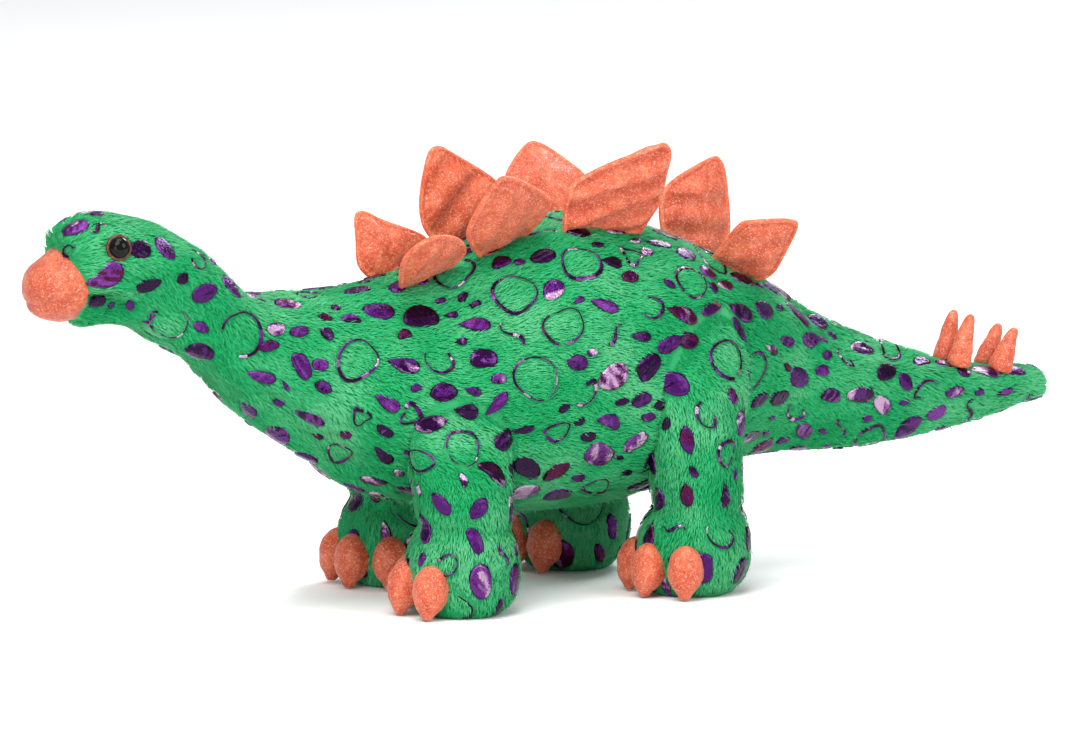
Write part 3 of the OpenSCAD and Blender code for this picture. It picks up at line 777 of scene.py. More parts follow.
def seam_planes():
    """Point on, and normal of, each plane that bounds the snout patch; the normals point off the snout."""
    out = []
    for other in (SEAM_TOP, SEAM_LOW):
        way = (other - SEAM_CORNER).normalized()
        n = Vector((0, way.z, -way.y))
        out.append((SEAM_CORNER, -n if n.y < 0 else n))
    return out


def snout_depth(p):
    """Distance in front of the snout seam, positive on the patch."""
    d = [-(((p - np.array(at)) * np.array(n)).sum(-1)) for at, n in seam_planes()]
    return np.minimum(d[0], d[1])


def cap_loops(bm):
    """Closes each open loop with a fan round its middle."""
    seen = set()
    for start in [e for e in bm.edges if e.is_boundary]:
        if start in seen:
            continue
        loop, edge, v = [], start, start.verts[0]
        while edge is not None and edge not in seen:
            seen.add(edge)
            loop.append(edge)
            v = edge.other_vert(v)
            edge = next((e for e in v.link_edges if e.is_boundary and e not in seen), None)
        if len(loop) < 3:
            continue
        mid = sum(((e.verts[0].co + e.verts[1].co) / 2 for e in loop), Vector()) / len(loop)
        centre = bm.verts.new(mid)
        for e in loop:
            f = e.link_faces[0]
            a, b = e.verts
            for ll in f.loops:
                if ll.edge == e:
                    a, b = ll.vert, ll.link_loop_next.vert
            face = bm.faces.new((b, a, centre))
            face.smooth = True


def skin_piece(name, skin, keep, mat, cuts=(), puff=None):
    """One closed piece of the skin: the faces where keep(centres) is true, after the cuts.

    puff gives how far out, in mm, each of its points stands.
    """
    bm = bmesh.new()
    vs = [bm.verts.new(Vector(v) * MM) for v in skin.p.tolist()]
    for q in skin.quads.tolist():
        bm.faces.new([vs[i] for i in q])
    for end in (0, skin.rings - 1):
        ring = [vs[end * skin.around + k] for k in range(skin.around)]
        bm.faces.new(ring if end else ring[::-1])
    for at, n in cuts:
        bmesh.ops.bisect_plane(bm, geom=bm.verts[:] + bm.edges[:] + bm.faces[:], dist=1e-6,
                               plane_co=at * MM, plane_no=n)
    centres = np.array([f.calc_center_median() for f in bm.faces]) / MM
    gone = [f for f, ok in zip(bm.faces[:], keep(centres)) if not ok]
    bmesh.ops.delete(bm, geom=gone, context="FACES")
    bmesh.ops.delete(bm, geom=[v for v in bm.verts if not v.link_faces], context="VERTS")
    bmesh.ops.recalc_face_normals(bm, faces=bm.faces[:])
    if puff is not None:
        bm.normal_update()
        for v in bm.verts:
            v.co += v.normal * puff(v.co / MM) * MM
    cap_loops(bm)
    bmesh.ops.recalc_face_normals(bm, faces=bm.faces[:])
    me = bpy.data.meshes.new(name)
    bm.to_mesh(me)
    bm.free()
    me.polygons.foreach_set("use_smooth", np.ones(len(me.polygons), bool))
    me.materials.append(mat)
    ob = bpy.data.objects.new(name, me)
    scene.collection.objects.link(ob)
    return ob


# ---------------------------------------------------------------- foil print

LINES_TO_AREA = 0.00102     # drawn lines to a square mm

# marks whose places the toy's face and neck show: where, kind, half its length, turn from the
# pile's run, and a solid one's width as a share of its length
FACE_MARKS = [
    ((16, -193.5, 133.8), "tear", 7.6, 0.05, 0.74), ((17, -179, 143), "oval", 4.8, 0.3, 0.75),
    ((15, -168, 142), "oval", 5.0, -0.8, 0.72), ((17, -176, 130), "oval", 5.6, 0.5, 0.48),
    ((16, -162, 131), "block", 2.4, 0.5, 0.9), ((16, -152, 125), "oval", 5.2, 0.8, 0.7),
    ((14, -139, 125), "tear", 5.2, 2.8, 0.7), ((6, -125, 119.5), "leaf", 4.6, -0.6, 0.6),
    ((5, -199, 150), "oval", 5.4, -0.3, 0.66), ((2, -189, 154.5), "oval", 3.2, 0.8, 0.8),
    ((8, -203.5, 143.2), "hook", 2.8, -0.6), ((10, -193, 151), "squiggle", 3.4, 0),
    ((13, -153, 136), "arc", 3.8, -0.5), ((8, -144, 134), "leaf", 2.2, -1.5, 0.6),
    ((13, -165, 114), "arc", 7.2, -0.8), ((16, -136, 108), "arc", 8.6, 1.3),
    ((15, -152, 112), "leaf", 3.8, 0.1, 0.5), ((12, -151, 103), "leaf", 5.8, 0.6, 0.7),
    ((16, -122, 109), "oval", 3.9, 0.4, 0.6), ((17, -113, 107), "oval", 3.9, 0.4, 0.55),
    ((17, -125, 103), "oval", 4.2, 0.6, 0.5), ((15, -101, 110), "leaf", 2.8, -0.1, 0.5),
    ((13, -95, 112), "oval", 1.8, 0, 0.95), ((21, -113, 95), "block", 5.6, -0.8, 0.62),
    ((22, -106, 95), "oval", 3.4, 0.2, 0.68), ((18, -129, 92), "tear", 6.0, 0.4, 0.48),
    ((11, -194, 124), "block", 4.0, -0.3, 0.6), ((9, -187, 122), "oval", 2.0, 1.7, 0.7),
    ((11, -180, 122), "oval", 2.5, 2.0, 0.6), ((12, -172, 117), "squiggle", 3.2, 1.4)]


class Patch:
    """One printed mark: a blob, or a drawn line, in its own flat coordinates in mm.

    It lies at a place with normal n, its length along t. Its shape is in flat, faces, lift (how far
    each point stands from the pile) and tints (the foil of each face, painted reflection and painted
    highlights among them).
    """

    SHAPES = ("blob", "tear", "leaf", "block", "bean_fill", "oval")     # "blob" is any of them by chance
    TINT_SHARES = (0.4, 0.34, 0.16, 0.1)
    # of a line's tints, the last two, pinkish silver and lavender, are painted glints
    LINE_SHARES = (0.27, 0.47, 0.07, 0.05, 0.06, 0.08)

    def __init__(self, kind, at, n, t, size, rng, region, high=None):
        self.kind, self.at, self.region, self.size, self.rng = kind, at, region, size, rng
        self.t, self.b = t, np.cross(n, t)
        self.solid = kind in self.SHAPES
        self.tint = rng.choice(4, 2, p=self.TINT_SHARES)
        if self.solid:
            self.make_blob(high)
        else:
            self.make_line()

    def make_blob(self, high):
        """Outline of k points, filled by rings, with creases across the film."""
        rng = self.rng
        k = 28
        phi = np.arange(k) * 2 * np.pi / k
        c, s = np.cos(phi), np.sin(phi)
        drawn = rng.uniform(0.44, 0.78)
        high = high or drawn
        shape = self.SHAPES.index(self.kind) or rng.choice(5, p=(0.42, 0.2, 0.12, 0.14, 0.12))
        if shape == 1:      # teardrop
            s = s * ((1.12 + c) / 2) ** 0.55
        elif shape == 2:    # leaf
            s = s * (0.15 + np.abs(s)) ** 0.35
        elif shape == 3:    # blunt block
            n = (np.abs(c) ** 2.9 + np.abs(s) ** 2.9) ** (-1 / 2.9)
            c, s = c * n * 0.94, s * n * 0.94
        wobble = 1 + 0.045 * np.cos(2 * phi + rng.uniform(0, 6))
        wobble += 0.04 * np.cos(3 * phi + rng.uniform(0, 6))
        u = self.size * c * wobble
        v = self.size * high * s * wobble
        if shape == 4:      # bean
            v = v - 0.3 * u * u / self.size + 0.12 * self.size
        self.edge = np.stack([u, v], -1)
        rings = (0.2, 0.4, 0.6, 0.78, 0.92, 1.0)
        self.flat = np.concatenate([np.zeros((1, 2))] + [self.edge * r for r in rings])
        faces = [(0, 1 + i, 1 + (i + 1) % k) for i in range(k)]
        for j in range(len(rings) - 1):
            a, b = 1 + j * k, 1 + (j + 1) * k
            for i in range(k):
                i2 = (i + 1) % k
                faces += [(a + i, b + i, b + i2), (a + i, b + i2, a + i2)]
        self.faces = np.array(faces)
        lift = np.concatenate([[0.06]] + [np.full(k, h) for h in (0.06, 0.05, 0.02, -0.02, -0.1, -0.6)])
        turn, wave = rng.uniform(0, np.pi), rng.uniform(2.2, 4.5)
        across = self.flat[:, 0] * np.cos(turn) + self.flat[:, 1] * np.sin(turn)
        fold = np.abs(np.sin(across * np.pi / wave + rng.uniform(0, 3)))
        depth = rng.uniform(0.04, 0.26)
        self.lift = lift + (depth * fold + 0.035 * rng.standard_normal(len(lift))) * (lift > -0.5)
        # across its creases the film changes from one tint to another, partly its own tints and partly
        # painted reflection, and on some marks the creases get painted highlights in the two light tints
        mid = self.flat[self.faces].mean(1)
        across = mid[:, 0] * np.cos(turn) + mid[:, 1] * np.sin(turn)
        beside = mid[:, 1] * np.cos(turn) - mid[:, 0] * np.sin(turn)
        key = np.stack([across, beside * 0.45, np.full(len(mid), rng.uniform(0, 900))], -1)
        crease = noise_at(key, 1.7) + 0.5 * noise_at(key, 0.8)
        self.tints = np.where(crease > rng.uniform(-0.1, 0.5), self.tint[1], self.tint[0])
        # painted highlights along some creases: lavender, and pinkish silver where brightest
        if rng.random() < 0.3:
            painted_glint = 1.3 * noise_at(key, 4.5, 3) + 0.55 * crease
            least = rng.uniform(-0.1, 0.35)
            self.tints = np.where(painted_glint > least, 5, self.tints)
            self.tints = np.where(painted_glint > least + 0.2, 4, self.tints)

    def make_line(self):
        """A drawn line's middle, and a strip along it that swells, thins and here and there breaks."""
        rng = self.rng
        size, kind = self.size, self.kind
        a = np.linspace(0, 2 * np.pi, 48)
        gaps = 0
        if kind == "ring":
            power = rng.uniform(2.0, 3.0)
            n = (np.abs(np.cos(a)) ** power + np.abs(np.sin(a)) ** power) ** (-1 / power)
            c = np.stack([n * np.cos(a), rng.uniform(0.76, 1.0) * n * np.sin(a)], -1) * size * 0.95
            wobble = 1 + 0.05 * np.sin(3 * a + rng.uniform(0, 6))
            wobble += 0.04 * np.sin(2 * a + rng.uniform(0, 6))
            c *= wobble[:, None]
            gaps = rng.integers(0, 3)
        elif kind == "arc":
            a = np.linspace(-2.3, 2.3, 36)
            c = np.stack([np.cos(a) * 0.9, np.sin(a)], -1) * size
        elif kind == "hook":
            a = np.linspace(0, rng.uniform(2.6, 4.2), 24)
            c = np.stack([np.cos(a), 0.8 * np.sin(a)], -1) * size * 0.9
            tail = c[-1] + np.outer(np.linspace(0.15, 1, 6), [0.5 * size, -0.3 * size])
            c = np.concatenate([c, tail])
        elif kind == "bean":
            u = np.cos(a) * size
            v = 0.66 * np.sin(a) * size - 0.34 * u * u / size * np.where(np.sin(a) > 0, 1.2, 0.6)
            c = np.stack([u, v], -1)
            gaps = 1
        elif kind == "heart":
            t = np.abs(np.sin(a / 2 + 0.2)) ** 0.7
            c = np.stack([np.sin(a) * t, -np.cos(a) * 0.8 + 0.45 * np.abs(np.sin(a))], -1) * size
            gaps = 1
        else:               # squiggle
            a = np.linspace(-1, 1, 26)
            c = np.stack([a * size, 0.42 * size * np.sin(a * rng.uniform(2.2, 3.4))], -1)
        swell = np.sin(np.linspace(0, rng.uniform(4, 8), len(c)) + rng.uniform(0, 6))
        width = rng.uniform(0.4, 0.68) * (0.95 + 0.42 * swell)
        way = unit(np.gradient(c, axis=0))
        side = np.stack([-way[:, 1], way[:, 0]], -1)
        self.line = c
        m = len(c)
        self.flat = np.concatenate([c + side * width[:, None] * s for s in (-1, 0, 1)])
        drawn = np.ones(m - 1, bool)
        for _ in range(gaps):
            g = rng.integers(2, m - 5)
            drawn[g:g + rng.integers(2, 4)] = False
        faces = []
        for i in np.flatnonzero(drawn):
            for s in (0, 1):
                a0, b0 = s * m + i, (s + 1) * m + i
                faces += [(a0, a0 + 1, b0 + 1), (a0, b0 + 1, b0)]
        self.faces = np.array(faces)
        lift = np.concatenate([np.full(m, -0.3), np.full(m, 0.05), np.full(m, -0.3)])
        self.lift = lift + 0.08 * rng.standard_normal(len(lift))
        # runs of tints along the line, the light ones painted glints
        runs = rng.choice(6, 60, p=self.LINE_SHARES)
        self.tints = runs[(self.faces.min(1) % m) // rng.integers(2, 5)]

    def covers(self, p):
        """Which of the points, near the patch, it lies over."""
        d = p - self.at
        uv = np.stack([d @ self.t, d @ self.b], -1)
        if self.solid:
            phi = np.arctan2(uv[:, 1], uv[:, 0])
            edge_phi = np.arctan2(self.edge[:, 1], self.edge[:, 0])
            order = np.argsort(edge_phi)
            r = np.interp(phi, edge_phi[order], length(self.edge)[order], period=2 * np.pi)
            return length(uv) < r * 0.97
        near = np.full(len(p), 1e9)
        for q in self.line:
            near = np.minimum(near, length(uv - q))
        return near < 0.85


def scatter_patches(skin, region_name, rng, tries, hidden, gap, placed=()):
    """Marks set apart by chance, lines first and blobs in the room between them.

    None lies where hidden is true; gap gives the spare room round a blob; placed marks come first.
    """
    centres, radii, patches, lines = [], [], [], 0
    line_count = int(skin.area.sum() * LINES_TO_AREA)
    for at, kind, size, turn, *high in placed:
        (q,), (n,) = skin.lay(np.array([at], float), np.zeros(1))
        t = skin.flow[skin.kd.find(q)[1]]
        patches.append(turned(kind, q, n, t, size, turn, rng, region_name, *high))
        centres.append(q)
        radii.append(size * 0.8)
    p, n, f = skin.sample(tries, rng)
    bad = hidden(p)
    for i in range(tries):
        if bad[i]:
            continue
        if lines < line_count:
            kind = str(rng.choice(["ring", "hook", "bean", "heart", "squiggle"],
                                  p=(0.26, 0.32, 0.18, 0.07, 0.17)))
            size = rng.uniform(6.4, 9.2) if kind == "ring" else rng.uniform(3.8, 6.6)
            room = size * 0.98 + 0.6
            lines += 1
        else:
            kind = "blob"
            size = rng.uniform(4.3, 7.2) if i < tries * 0.5 else rng.uniform(2.1, 4.8)
            room = size * 0.86 + 0.4 + 0.5 * gap(p[i])
        if centres and (length(np.array(centres) - p[i]) < np.array(radii) + room).any():
            lines -= kind != "blob"
            continue
        turn = rng.normal(0, 0.42) if kind == "blob" else rng.uniform(0, 6.28)
        patches.append(turned(kind, p[i], n[i], f[i], size, turn, rng, region_name))
        centres.append(p[i])
        radii.append(room)
    return patches


def turned(kind, at, n, t, size, turn, rng, region_name, *high):
    """A mark turned on the skin from the way t."""
    t = along_surface(t, n)
    t = t * math.cos(turn) + np.cross(n, t) * math.sin(turn)
    where = region_name or region_of(np.array([at[1]]))[0]
    return Patch(kind, at, n, t, size, rng, where, *high)


def foil_objects(patches, skin, mats, made):
    """Joins the marks of each region into one crinkled film piece."""
    for region in sorted({p.region for p in patches}):
        verts, faces, tints, base = [], [], [], 0
        for p in (q for q in patches if q.region == region):
            flat = p.at + p.flat[:, :1] * p.t + p.flat[:, 1:] * p.b
            v = skin.lay(flat, PILE * 0.88 + p.lift)[0]
            v[:, 2] = np.maximum(v[:, 2], FLOOR_GAP)
            verts.append(v)
            faces.append(p.faces + base)
            tints.append(p.tints)
            base += len(v)
        ob = fast_mesh("foil_" + region, np.concatenate(verts), [np.concatenate(faces)], mats,
                       np.concatenate(tints))
        made[region].append(ob)


# ---------------------------------------------------------------- pile

TUFTS_IN_PIECE = 90000      # the most tufts in one pile piece
SEAM_NEAR = 1.7             # mm from a seam in which the pile is short and darker by painted shade
SEAM_CLEAR = 0.75           # mm from a seam in which no pile stands


def plate_root_distance(p):
    """Distance from each point to the nearest plate's sewn root."""
    out = np.full(len(p), 99.0)
    for name, (_lean, _folds, outline) in PLATES.items():
        joint = joints[f"plate_{name}_flop"]
        at, way = np.array(joint["pos_m"]) / MM, np.array(Vector(joint["axis"]).normalized())
        t = ((p - at) @ way).clip(outline[0][0], outline[-1][0])
        out = np.minimum(out, length(p - at - t[:, None] * way))
    return out


def away_from(p, trees, reach=2.0):
    """Distance from each point to the nearest of some surfaces, or reach where that is less."""
    out = np.full(len(p), reach)
    near = np.flatnonzero((np.abs(p[:, 1]) < 78) & (p[:, 2] < 118) & (np.abs(p[:, 0]) > 8))
    for i in near:
        for tree in trees:
            far = tree.find_nearest(Vector(p[i]), out[i])[3]
            out[i] = out[i] if far is None else far
    return out


def tuft_places(skin, region_name, count, patches, hidden, rng):
    """Where tufts stand: place, normal, the pile's run, share of full length, and painted shading.

    None stand under the foil. In the seams and under the lip they are short and darkened by painted
    shade, and on the lip's edge lightened by a painted highlight.
    """
    p, n, f = skin.sample(count, rng)
    keep = ~hidden(p)
    short = np.ones(len(p))
    face = region_name is None
    if face:
        keep &= snout_depth(p) < -0.4
    kd = point_tree(p)
    for patch in patches:
        near = np.array([i for _, i, _ in kd.find_range(patch.at, patch.size * 1.5 + 5)], int)
        if len(near):
            keep[near[patch.covers(p[near] + f[near] * 0.9)]] = False
            over = patch.covers(p[near] + f[near] * 2.2) | patch.covers(p[near] + f[near] * 3.6)
            short[near[over]] = 0.42 if patch.solid else 0.55
    under = np.where((p[:, 1] < -178) & (np.abs(p[:, 0]) > 7), mouth_height(p[:, 1]) - p[:, 2], 99)
    if face:
        short[(under > -0.8) & (under < 3.2)] *= 0.45
        keep &= ~((under > 0) & (under < 1.7))
    p, n, f, short, under = (a[keep] for a in (p, n, f, short, under))
    # a leg's seam runs where its own outline meets the body
    if face:
        seam = away_from(p, [leg.outline for leg in legs.values()])
    else:
        seam = np.maximum(away_from(p, [body.bvh]), away_from(p, [skin.outline]))
    short *= np.where(seam < SEAM_NEAR, 0.45, 1)
    # painted shade darkens the pile in the seams and under the lip, where less light reaches,
    # and a painted highlight lightens the lip's edge
    painted_shading = 0.35 * (seam < SEAM_NEAR) + 0.6 * ((under > 0) & (under < 4.4)) \
        - 0.3 * ((under > -2.8) & (under <= 0))
    return (a[seam > SEAM_CLEAR] for a in (p, n, f, short, painted_shading))


def tuft_blades(p, n, f, short, rng):
    """Five points and their normals for each tuft's tapered blade, and which tufts stray from the comb."""
    m = len(p)
    turn = 0.6 * noise_at(p, 18, 11) + 0.22 * noise_at(p, 6, 12) + rng.normal(0, 0.16, m)
    way = f * np.cos(turn)[:, None] + np.cross(n, f) * np.sin(turn)[:, None]
    down = np.array([0, 0, -1.0])
    way = unit(way + 0.25 * (down - n * (n @ down)[:, None]))
    side = np.cross(n, way)
    clump = noise_at(p, 8, 13)
    reach = rng.uniform(2.5, 3.9, m) * (1 + 0.15 * clump) * short
    rise = PILE - 0.4 + 0.35 * clump + rng.normal(0, 0.06, m)
    stray = rng.random(m) < 0.06
    rise = (rise + stray * rng.uniform(0.3, 1.2, m)) * np.minimum(short * 1.5, 1)
    rise += 1.0 * np.clip(1 - plate_root_distance(p) / 3.2, 0, 1)
    wide = rng.uniform(0.16, 0.27, m) * (1 - 0.25 * stray)
    low = p - n * 0.1
    mid = p + way * (reach * 0.4)[:, None] + n * (rise * 0.93)[:, None]
    tip = p + way * reach[:, None] + n * (rise * np.where(stray, 1.2, 0.9))[:, None]
    tip = tip + side * rng.normal(0, 0.25, m)[:, None]
    w = side * wide[:, None]
    verts = np.stack([low - w, low + w, mid - w * 0.85, mid + w * 0.85, tip], 1).reshape(-1, 3)
    verts[:, 2] = np.maximum(verts[:, 2], FLOOR_GAP)
    nn = n + side * rng.normal(0, 0.07, m)[:, None] - 0.1 * way
    return verts, unit(np.stack([nn, nn, nn, nn, nn + 0.25 * way], 1).reshape(-1, 3)), stray


def tufts(skin, region_name, count, patches, hidden, mats, made, rng):
    """Short combed pile of one leg, or of the whole body where region_name is None."""
    p, n, f, short, painted_shading = tuft_places(skin, region_name, count, patches, hidden, rng)
    verts, normals, stray = tuft_blades(p, n, f, short, rng)
    streak = 0.5 + 0.4 * noise_at(p * np.array([1, 0.5, 1]), 8.0, 21) + 0.6 * noise_at(p, 26, 22)
    # stray tufts are a step lighter, a painted highlight for light on the fuzz, and the painted shading
    # darkens seams and under the lip
    shade = streak * 0.7 + 0.15 + rng.normal(0, 0.045, len(p)) + 0.2 * stray - painted_shading
    shade = (np.clip(shade, 0, 0.999) * len(mats)).astype(int)
    regions = np.full(len(p), region_name, dtype=object) if region_name else region_of(p[:, 1])
    for region in sorted(set(regions)):
        sel = np.flatnonzero(regions == region)
        for part, some in enumerate(np.array_split(sel, math.ceil(len(sel) / TUFTS_IN_PIECE))):
            a = np.arange(len(some)) * 5
            idx = (some[:, None] * 5 + np.arange(5)).ravel()
            faces = [np.stack([a, a + 2, a + 3, a + 1], -1), np.stack([a + 2, a + 4, a + 3], -1)]
            # each blade's tip takes the next lighter shade: a painted highlight on the pile's tips
            tip_painted_light = np.minimum(shade[some] + 1, len(mats) - 1)
            ob = fast_mesh(f"pile_{region}_{part + 1}", verts[idx], faces, mats,
                           np.concatenate([shade[some], tip_painted_light]), normals[idx])
            made[region].append(ob)


# ---------------------------------------------------------------- plates, spikes, toes, eyes

def object_from_grid(name, grid, mats):
    """Closed surface from rings of points, in mm, with a point cap at each end."""
    size = grid.shape[:2]
    ob = fast_mesh(name, closed_points(grid), [ring_faces(*size), cap_faces(*size)], mats)
    bm = bmesh.new()
    bm.from_mesh(ob.data)
    bmesh.ops.recalc_face_normals(bm, faces=bm.faces[:])
    bm.to_mesh(ob.data)
    bm.free()
    return ob


def placed_by(matrix, points):
    """Points, or a grid of them, moved by the matrix."""
    m = np.array(matrix)
    return points @ m[:3, :3].T + m[:3, 3]


# name: lean outward; folds: how deep, how far apart and which way they run; outline round from the
# front of the root over the tip to its back, along the back and away from it
PLATES = {
    "left_1": (46, (0.3, 9, 60), [(-9, 0), (-12, 11), (-12, 22), (-6, 30), (1, 30), (12, 21.5),
                                  (17.5, 9), (10.5, 0)]),
    "left_2": (42, (0.4, 12, 70), [(-10, 0), (-17.5, 13), (-17.5, 24), (-9, 41.5), (-4, 42.5), (8, 32),
                                   (19, 17), (17, 7), (9, 0)]),
    "left_3": (27, (2.2, 11, 24), [(-17, 0), (-20, 12), (-17, 23.5), (10.5, 38.8), (15, 39), (18, 35),
                                   (19.5, 25), (20.5, 12), (17, 0)]),
    "left_4": (42, (0.35, 10, 40), [(-10, 0), (-12, 10), (-13.5, 20), (-11, 24), (1.5, 33), (6, 30.5),
                                    (12.5, 14), (14, 5), (10, 0)]),
    "right_1": (16, (0.4, 11, 110), [(-10, 0), (-14.5, 7), (-11, 17), (-7, 25.5), (-3, 25.5), (2, 20),
                                     (16, 6.5), (10, 0)]),
    "right_2": (3, (0.75, 13, 35), [(-9, 0), (-17, 5), (-19, 13), (-16, 24), (-9, 36), (-4.5, 37.5),
                                    (0, 34), (16.5, 15), (13, 5), (9, 0)]),
    "right_3": (48, (0.3, 12, 50), [(-11, 0), (-18, 6), (-17, 19), (-3, 34.5), (4, 35.5), (12, 28),
                                    (18.5, 18), (14, 5), (9, 0)]),
    "right_4": (10, (0.7, 11, 20), [(-9, 0), (-16, 9), (-16, 21.5), (-1.5, 38), (3, 40), (8, 34.5),
                                    (16.5, 15), (14, 5), (9, 0)])}
PLATE_T = 7.0       # mm, a plate at its fullest
THIN = 0.62         # mm, half of its two cloths where no fibre is between them


def pouch_filling(ring):
    """How thick a sewn pouch of this outline is, by share of the way out, once a cloth run has filled it.

    The shares, and the filling of each face on them, both as shares of the fullest place.
    """
    cols = ring[::4]
    heart = (ring.min(0) + ring.max(0)) / 2
    shares = np.array([0.1, 0.26, 0.42, 0.58, 0.74, 0.88, 1.0])
    n, count = len(cols), len(shares)
    flat = heart + (cols[None] - heart) * shares[:, None, None]
    thin = np.repeat(0.9 * (1 - shares ** 3)[:, None], n, 1)
    front = np.concatenate([thin[..., None], flat], -1)[::-1]
    behind = np.concatenate([-thin[..., None], flat], -1)
    root = (count - 1) * n + np.flatnonzero(cols[:, 1] < 0.1)
    x = settled(np.concatenate([behind, front[1:]]), 10.0, 5.0, 0.01, root)[..., 0]
    x = np.clip(x / np.percentile(np.abs(x), 98), -1.15, 1.15)
    faces = []
    for side in (x[:count], x[count - 1:][::-1]):
        faces.append(np.abs([np.interp(np.arange(len(ring)), np.arange(n) * 4, row, period=len(ring))
                             for row in side]))
    return shares, faces


def plate_shells(ring):
    """Shells of a plate from its edge in: each point's share of the way out, and its mm from the edge."""
    far = length(ring - (ring.min(0) + ring.max(0)) / 2)
    # distance in from the edge, in mm, of each shell; the hem is the outer two
    inset = np.array([0, 0.25, 0.6, 1.05, 1.5, 1.85, 2.2, 2.9, 4.0, 5.4, 7.0])
    inner = np.array([0.68, 0.52, 0.36, 0.2, 0.08])
    share = np.concatenate([1 - inset[:, None] / far[None], np.repeat(inner[:, None], len(ring), 1)])
    share = np.minimum(share, np.concatenate([[1], np.full(len(share) - 1, 0.999)])[:, None])
    share = np.minimum.accumulate(share, axis=0)
    share[len(inset):] *= (share[len(inset) - 1] / 0.72)[None].clip(0.6, 1)
    return share, (1 - share) * far[None]


def plate_faces(ring, share, edge, seed):
    """Both faces of a plate as one closed grid across X: the hem, the filling and small lumps."""
    hem = 1.0 * np.sqrt(np.clip(1 - ((edge - 1.05) / 1.1) ** 2, 0, 1))
    pad = PLATE_T / 2 * np.clip(1 - np.exp(-(edge - 1.5) / 4.2), 0, 1) ** 0.8
    s = np.concatenate([[0], np.cumsum(length(np.diff(ring, axis=0)))])
    heart = (ring.min(0) + ring.max(0)) / 2
    q = heart + (ring[None] - heart) * share[..., None]
    filling = pouch_filling(ring)
    grids = []
    for face in (-1, 1):
        swollen = pad
        if filling:
            shares, full = filling[0], filling[1][(face + 1) // 2]
            full = np.stack([np.interp(share[:, c], shares, full[:, c]) for c in range(len(ring))], 1)
            swollen = PLATE_T / 2 * np.clip(full, 0, 1.1) * smoothstep(edge, 1.2, 3.5)
        thick = np.maximum(np.maximum(hem, 0.35 * pad + 0.65 * swollen), THIN)
        thick[0] = 0.0
        key = np.stack([np.full(share.shape, face * 40 + seed * 9), q[..., 0], q[..., 1]], -1).reshape(-1, 3)
        lumps = (0.55 * noise_at(key, 7, seed) + 0.2 * noise_at(key, 3, seed + 1)).reshape(share.shape)
        sewn = np.sin(2 * np.pi * s / 3.3 + 2.2 * np.sin(s / 5 + seed + face)) * hump(edge, 2.6, 1.7)
        crest = thick + (0.7 * lumps + 0.2 * sewn) * smoothstep(edge, 1.2, 3.2)
        grids.append(np.stack([face * crest, q[..., 0], q[..., 1]], -1))
    return np.concatenate([grids[0][::-1], grids[1][1:]])


def plate_matrix(joint, lean):
    """Stands a plate, drawn across X, along Y and up Z, on its joint at its lean in degrees."""
    d = Vector(joint["axis"]).normalized()
    z0 = Vector((0, -d.z, d.y))
    ang = math.radians(lean)
    across = Vector((1, 0, 0)) * math.cos(ang) - z0 * math.sin(ang)
    up = Vector((1, 0, 0)) * math.sin(ang) + z0 * math.cos(ang)
    root = Vector(joint["pos_m"]) / MM - up * 1.8
    return Matrix((
        (across.x, d.x, up.x, root.x), (across.y, d.y, up.y, root.y),
        (across.z, d.z, up.z, root.z), (0, 0, 0, 1)))


def plate_piece(name, joint, mats):
    """A back plate: two faces sewn round a hem, filled, pleated and turned inside its root."""
    lean, (deep, apart, runs), outline = PLATES[name]
    seed = 31 + list(PLATES).index(name)
    line = resample(spline(outline, 12), 0.6, (1, 1))
    for _ in range(6):
        line[1:-1] = (line[:-2] + 2 * line[1:-1] + line[2:]) / 4
    bottom = np.stack([np.linspace(line[-1, 0], line[0, 0], 26)[1:-1], np.zeros(24)], -1)
    ring = np.concatenate([line, bottom])
    share, edge = plate_shells(ring)
    grid = plate_faces(ring, share, edge, seed)
    p = grid.reshape(-1, 3)
    rim = np.concatenate([edge[::-1], edge[1:]]).reshape(-1)
    along, up = p[:, 1].copy(), p[:, 2].copy()
    turn = math.radians(runs)
    across = -math.sin(turn) * along + math.cos(turn) * up + 1.5 * noise_at(p * np.array([0, 1, 1]), 14, seed)
    pleat = np.sin(2 * np.pi * across / apart + seed)
    p[:, 0] += deep * (1.3 * np.abs(pleat) ** 0.8 * np.sign(pleat) - 0.2) * smoothstep(rim, 0.8, 5) \
        * smoothstep(up, 0, 6)
    p[:, 2] -= 1.9 * np.clip(1 - up / 7, 0, 1)
    p[:, 0] += 1.5 * np.sin(seed * 2.1) * (up / 36) ** 2
    p[:, 0] += 0.8 * noise_at(p * np.array([0, 1, 1]), 17, seed + 3)
    world = plate_matrix(joint, lean if name.startswith("left") else -lean)
    ob = object_from_grid("pad_" + name, placed_by(world, grid), mats)
    # the hem, where the cloth turns over its seam, takes the lighter coral: a painted highlight
    hem_painted_light = rim[ring_faces(*grid.shape[:2])].mean(1) < 1.9
    ob.data.polygons.foreach_set("material_index", np.append(hem_painted_light, np.zeros(
        len(ob.data.polygons) - len(hem_painted_light), bool)).astype(np.int32))
    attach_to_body(ob, "plate_" + name)
    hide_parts("plate_" + name)
    return ob


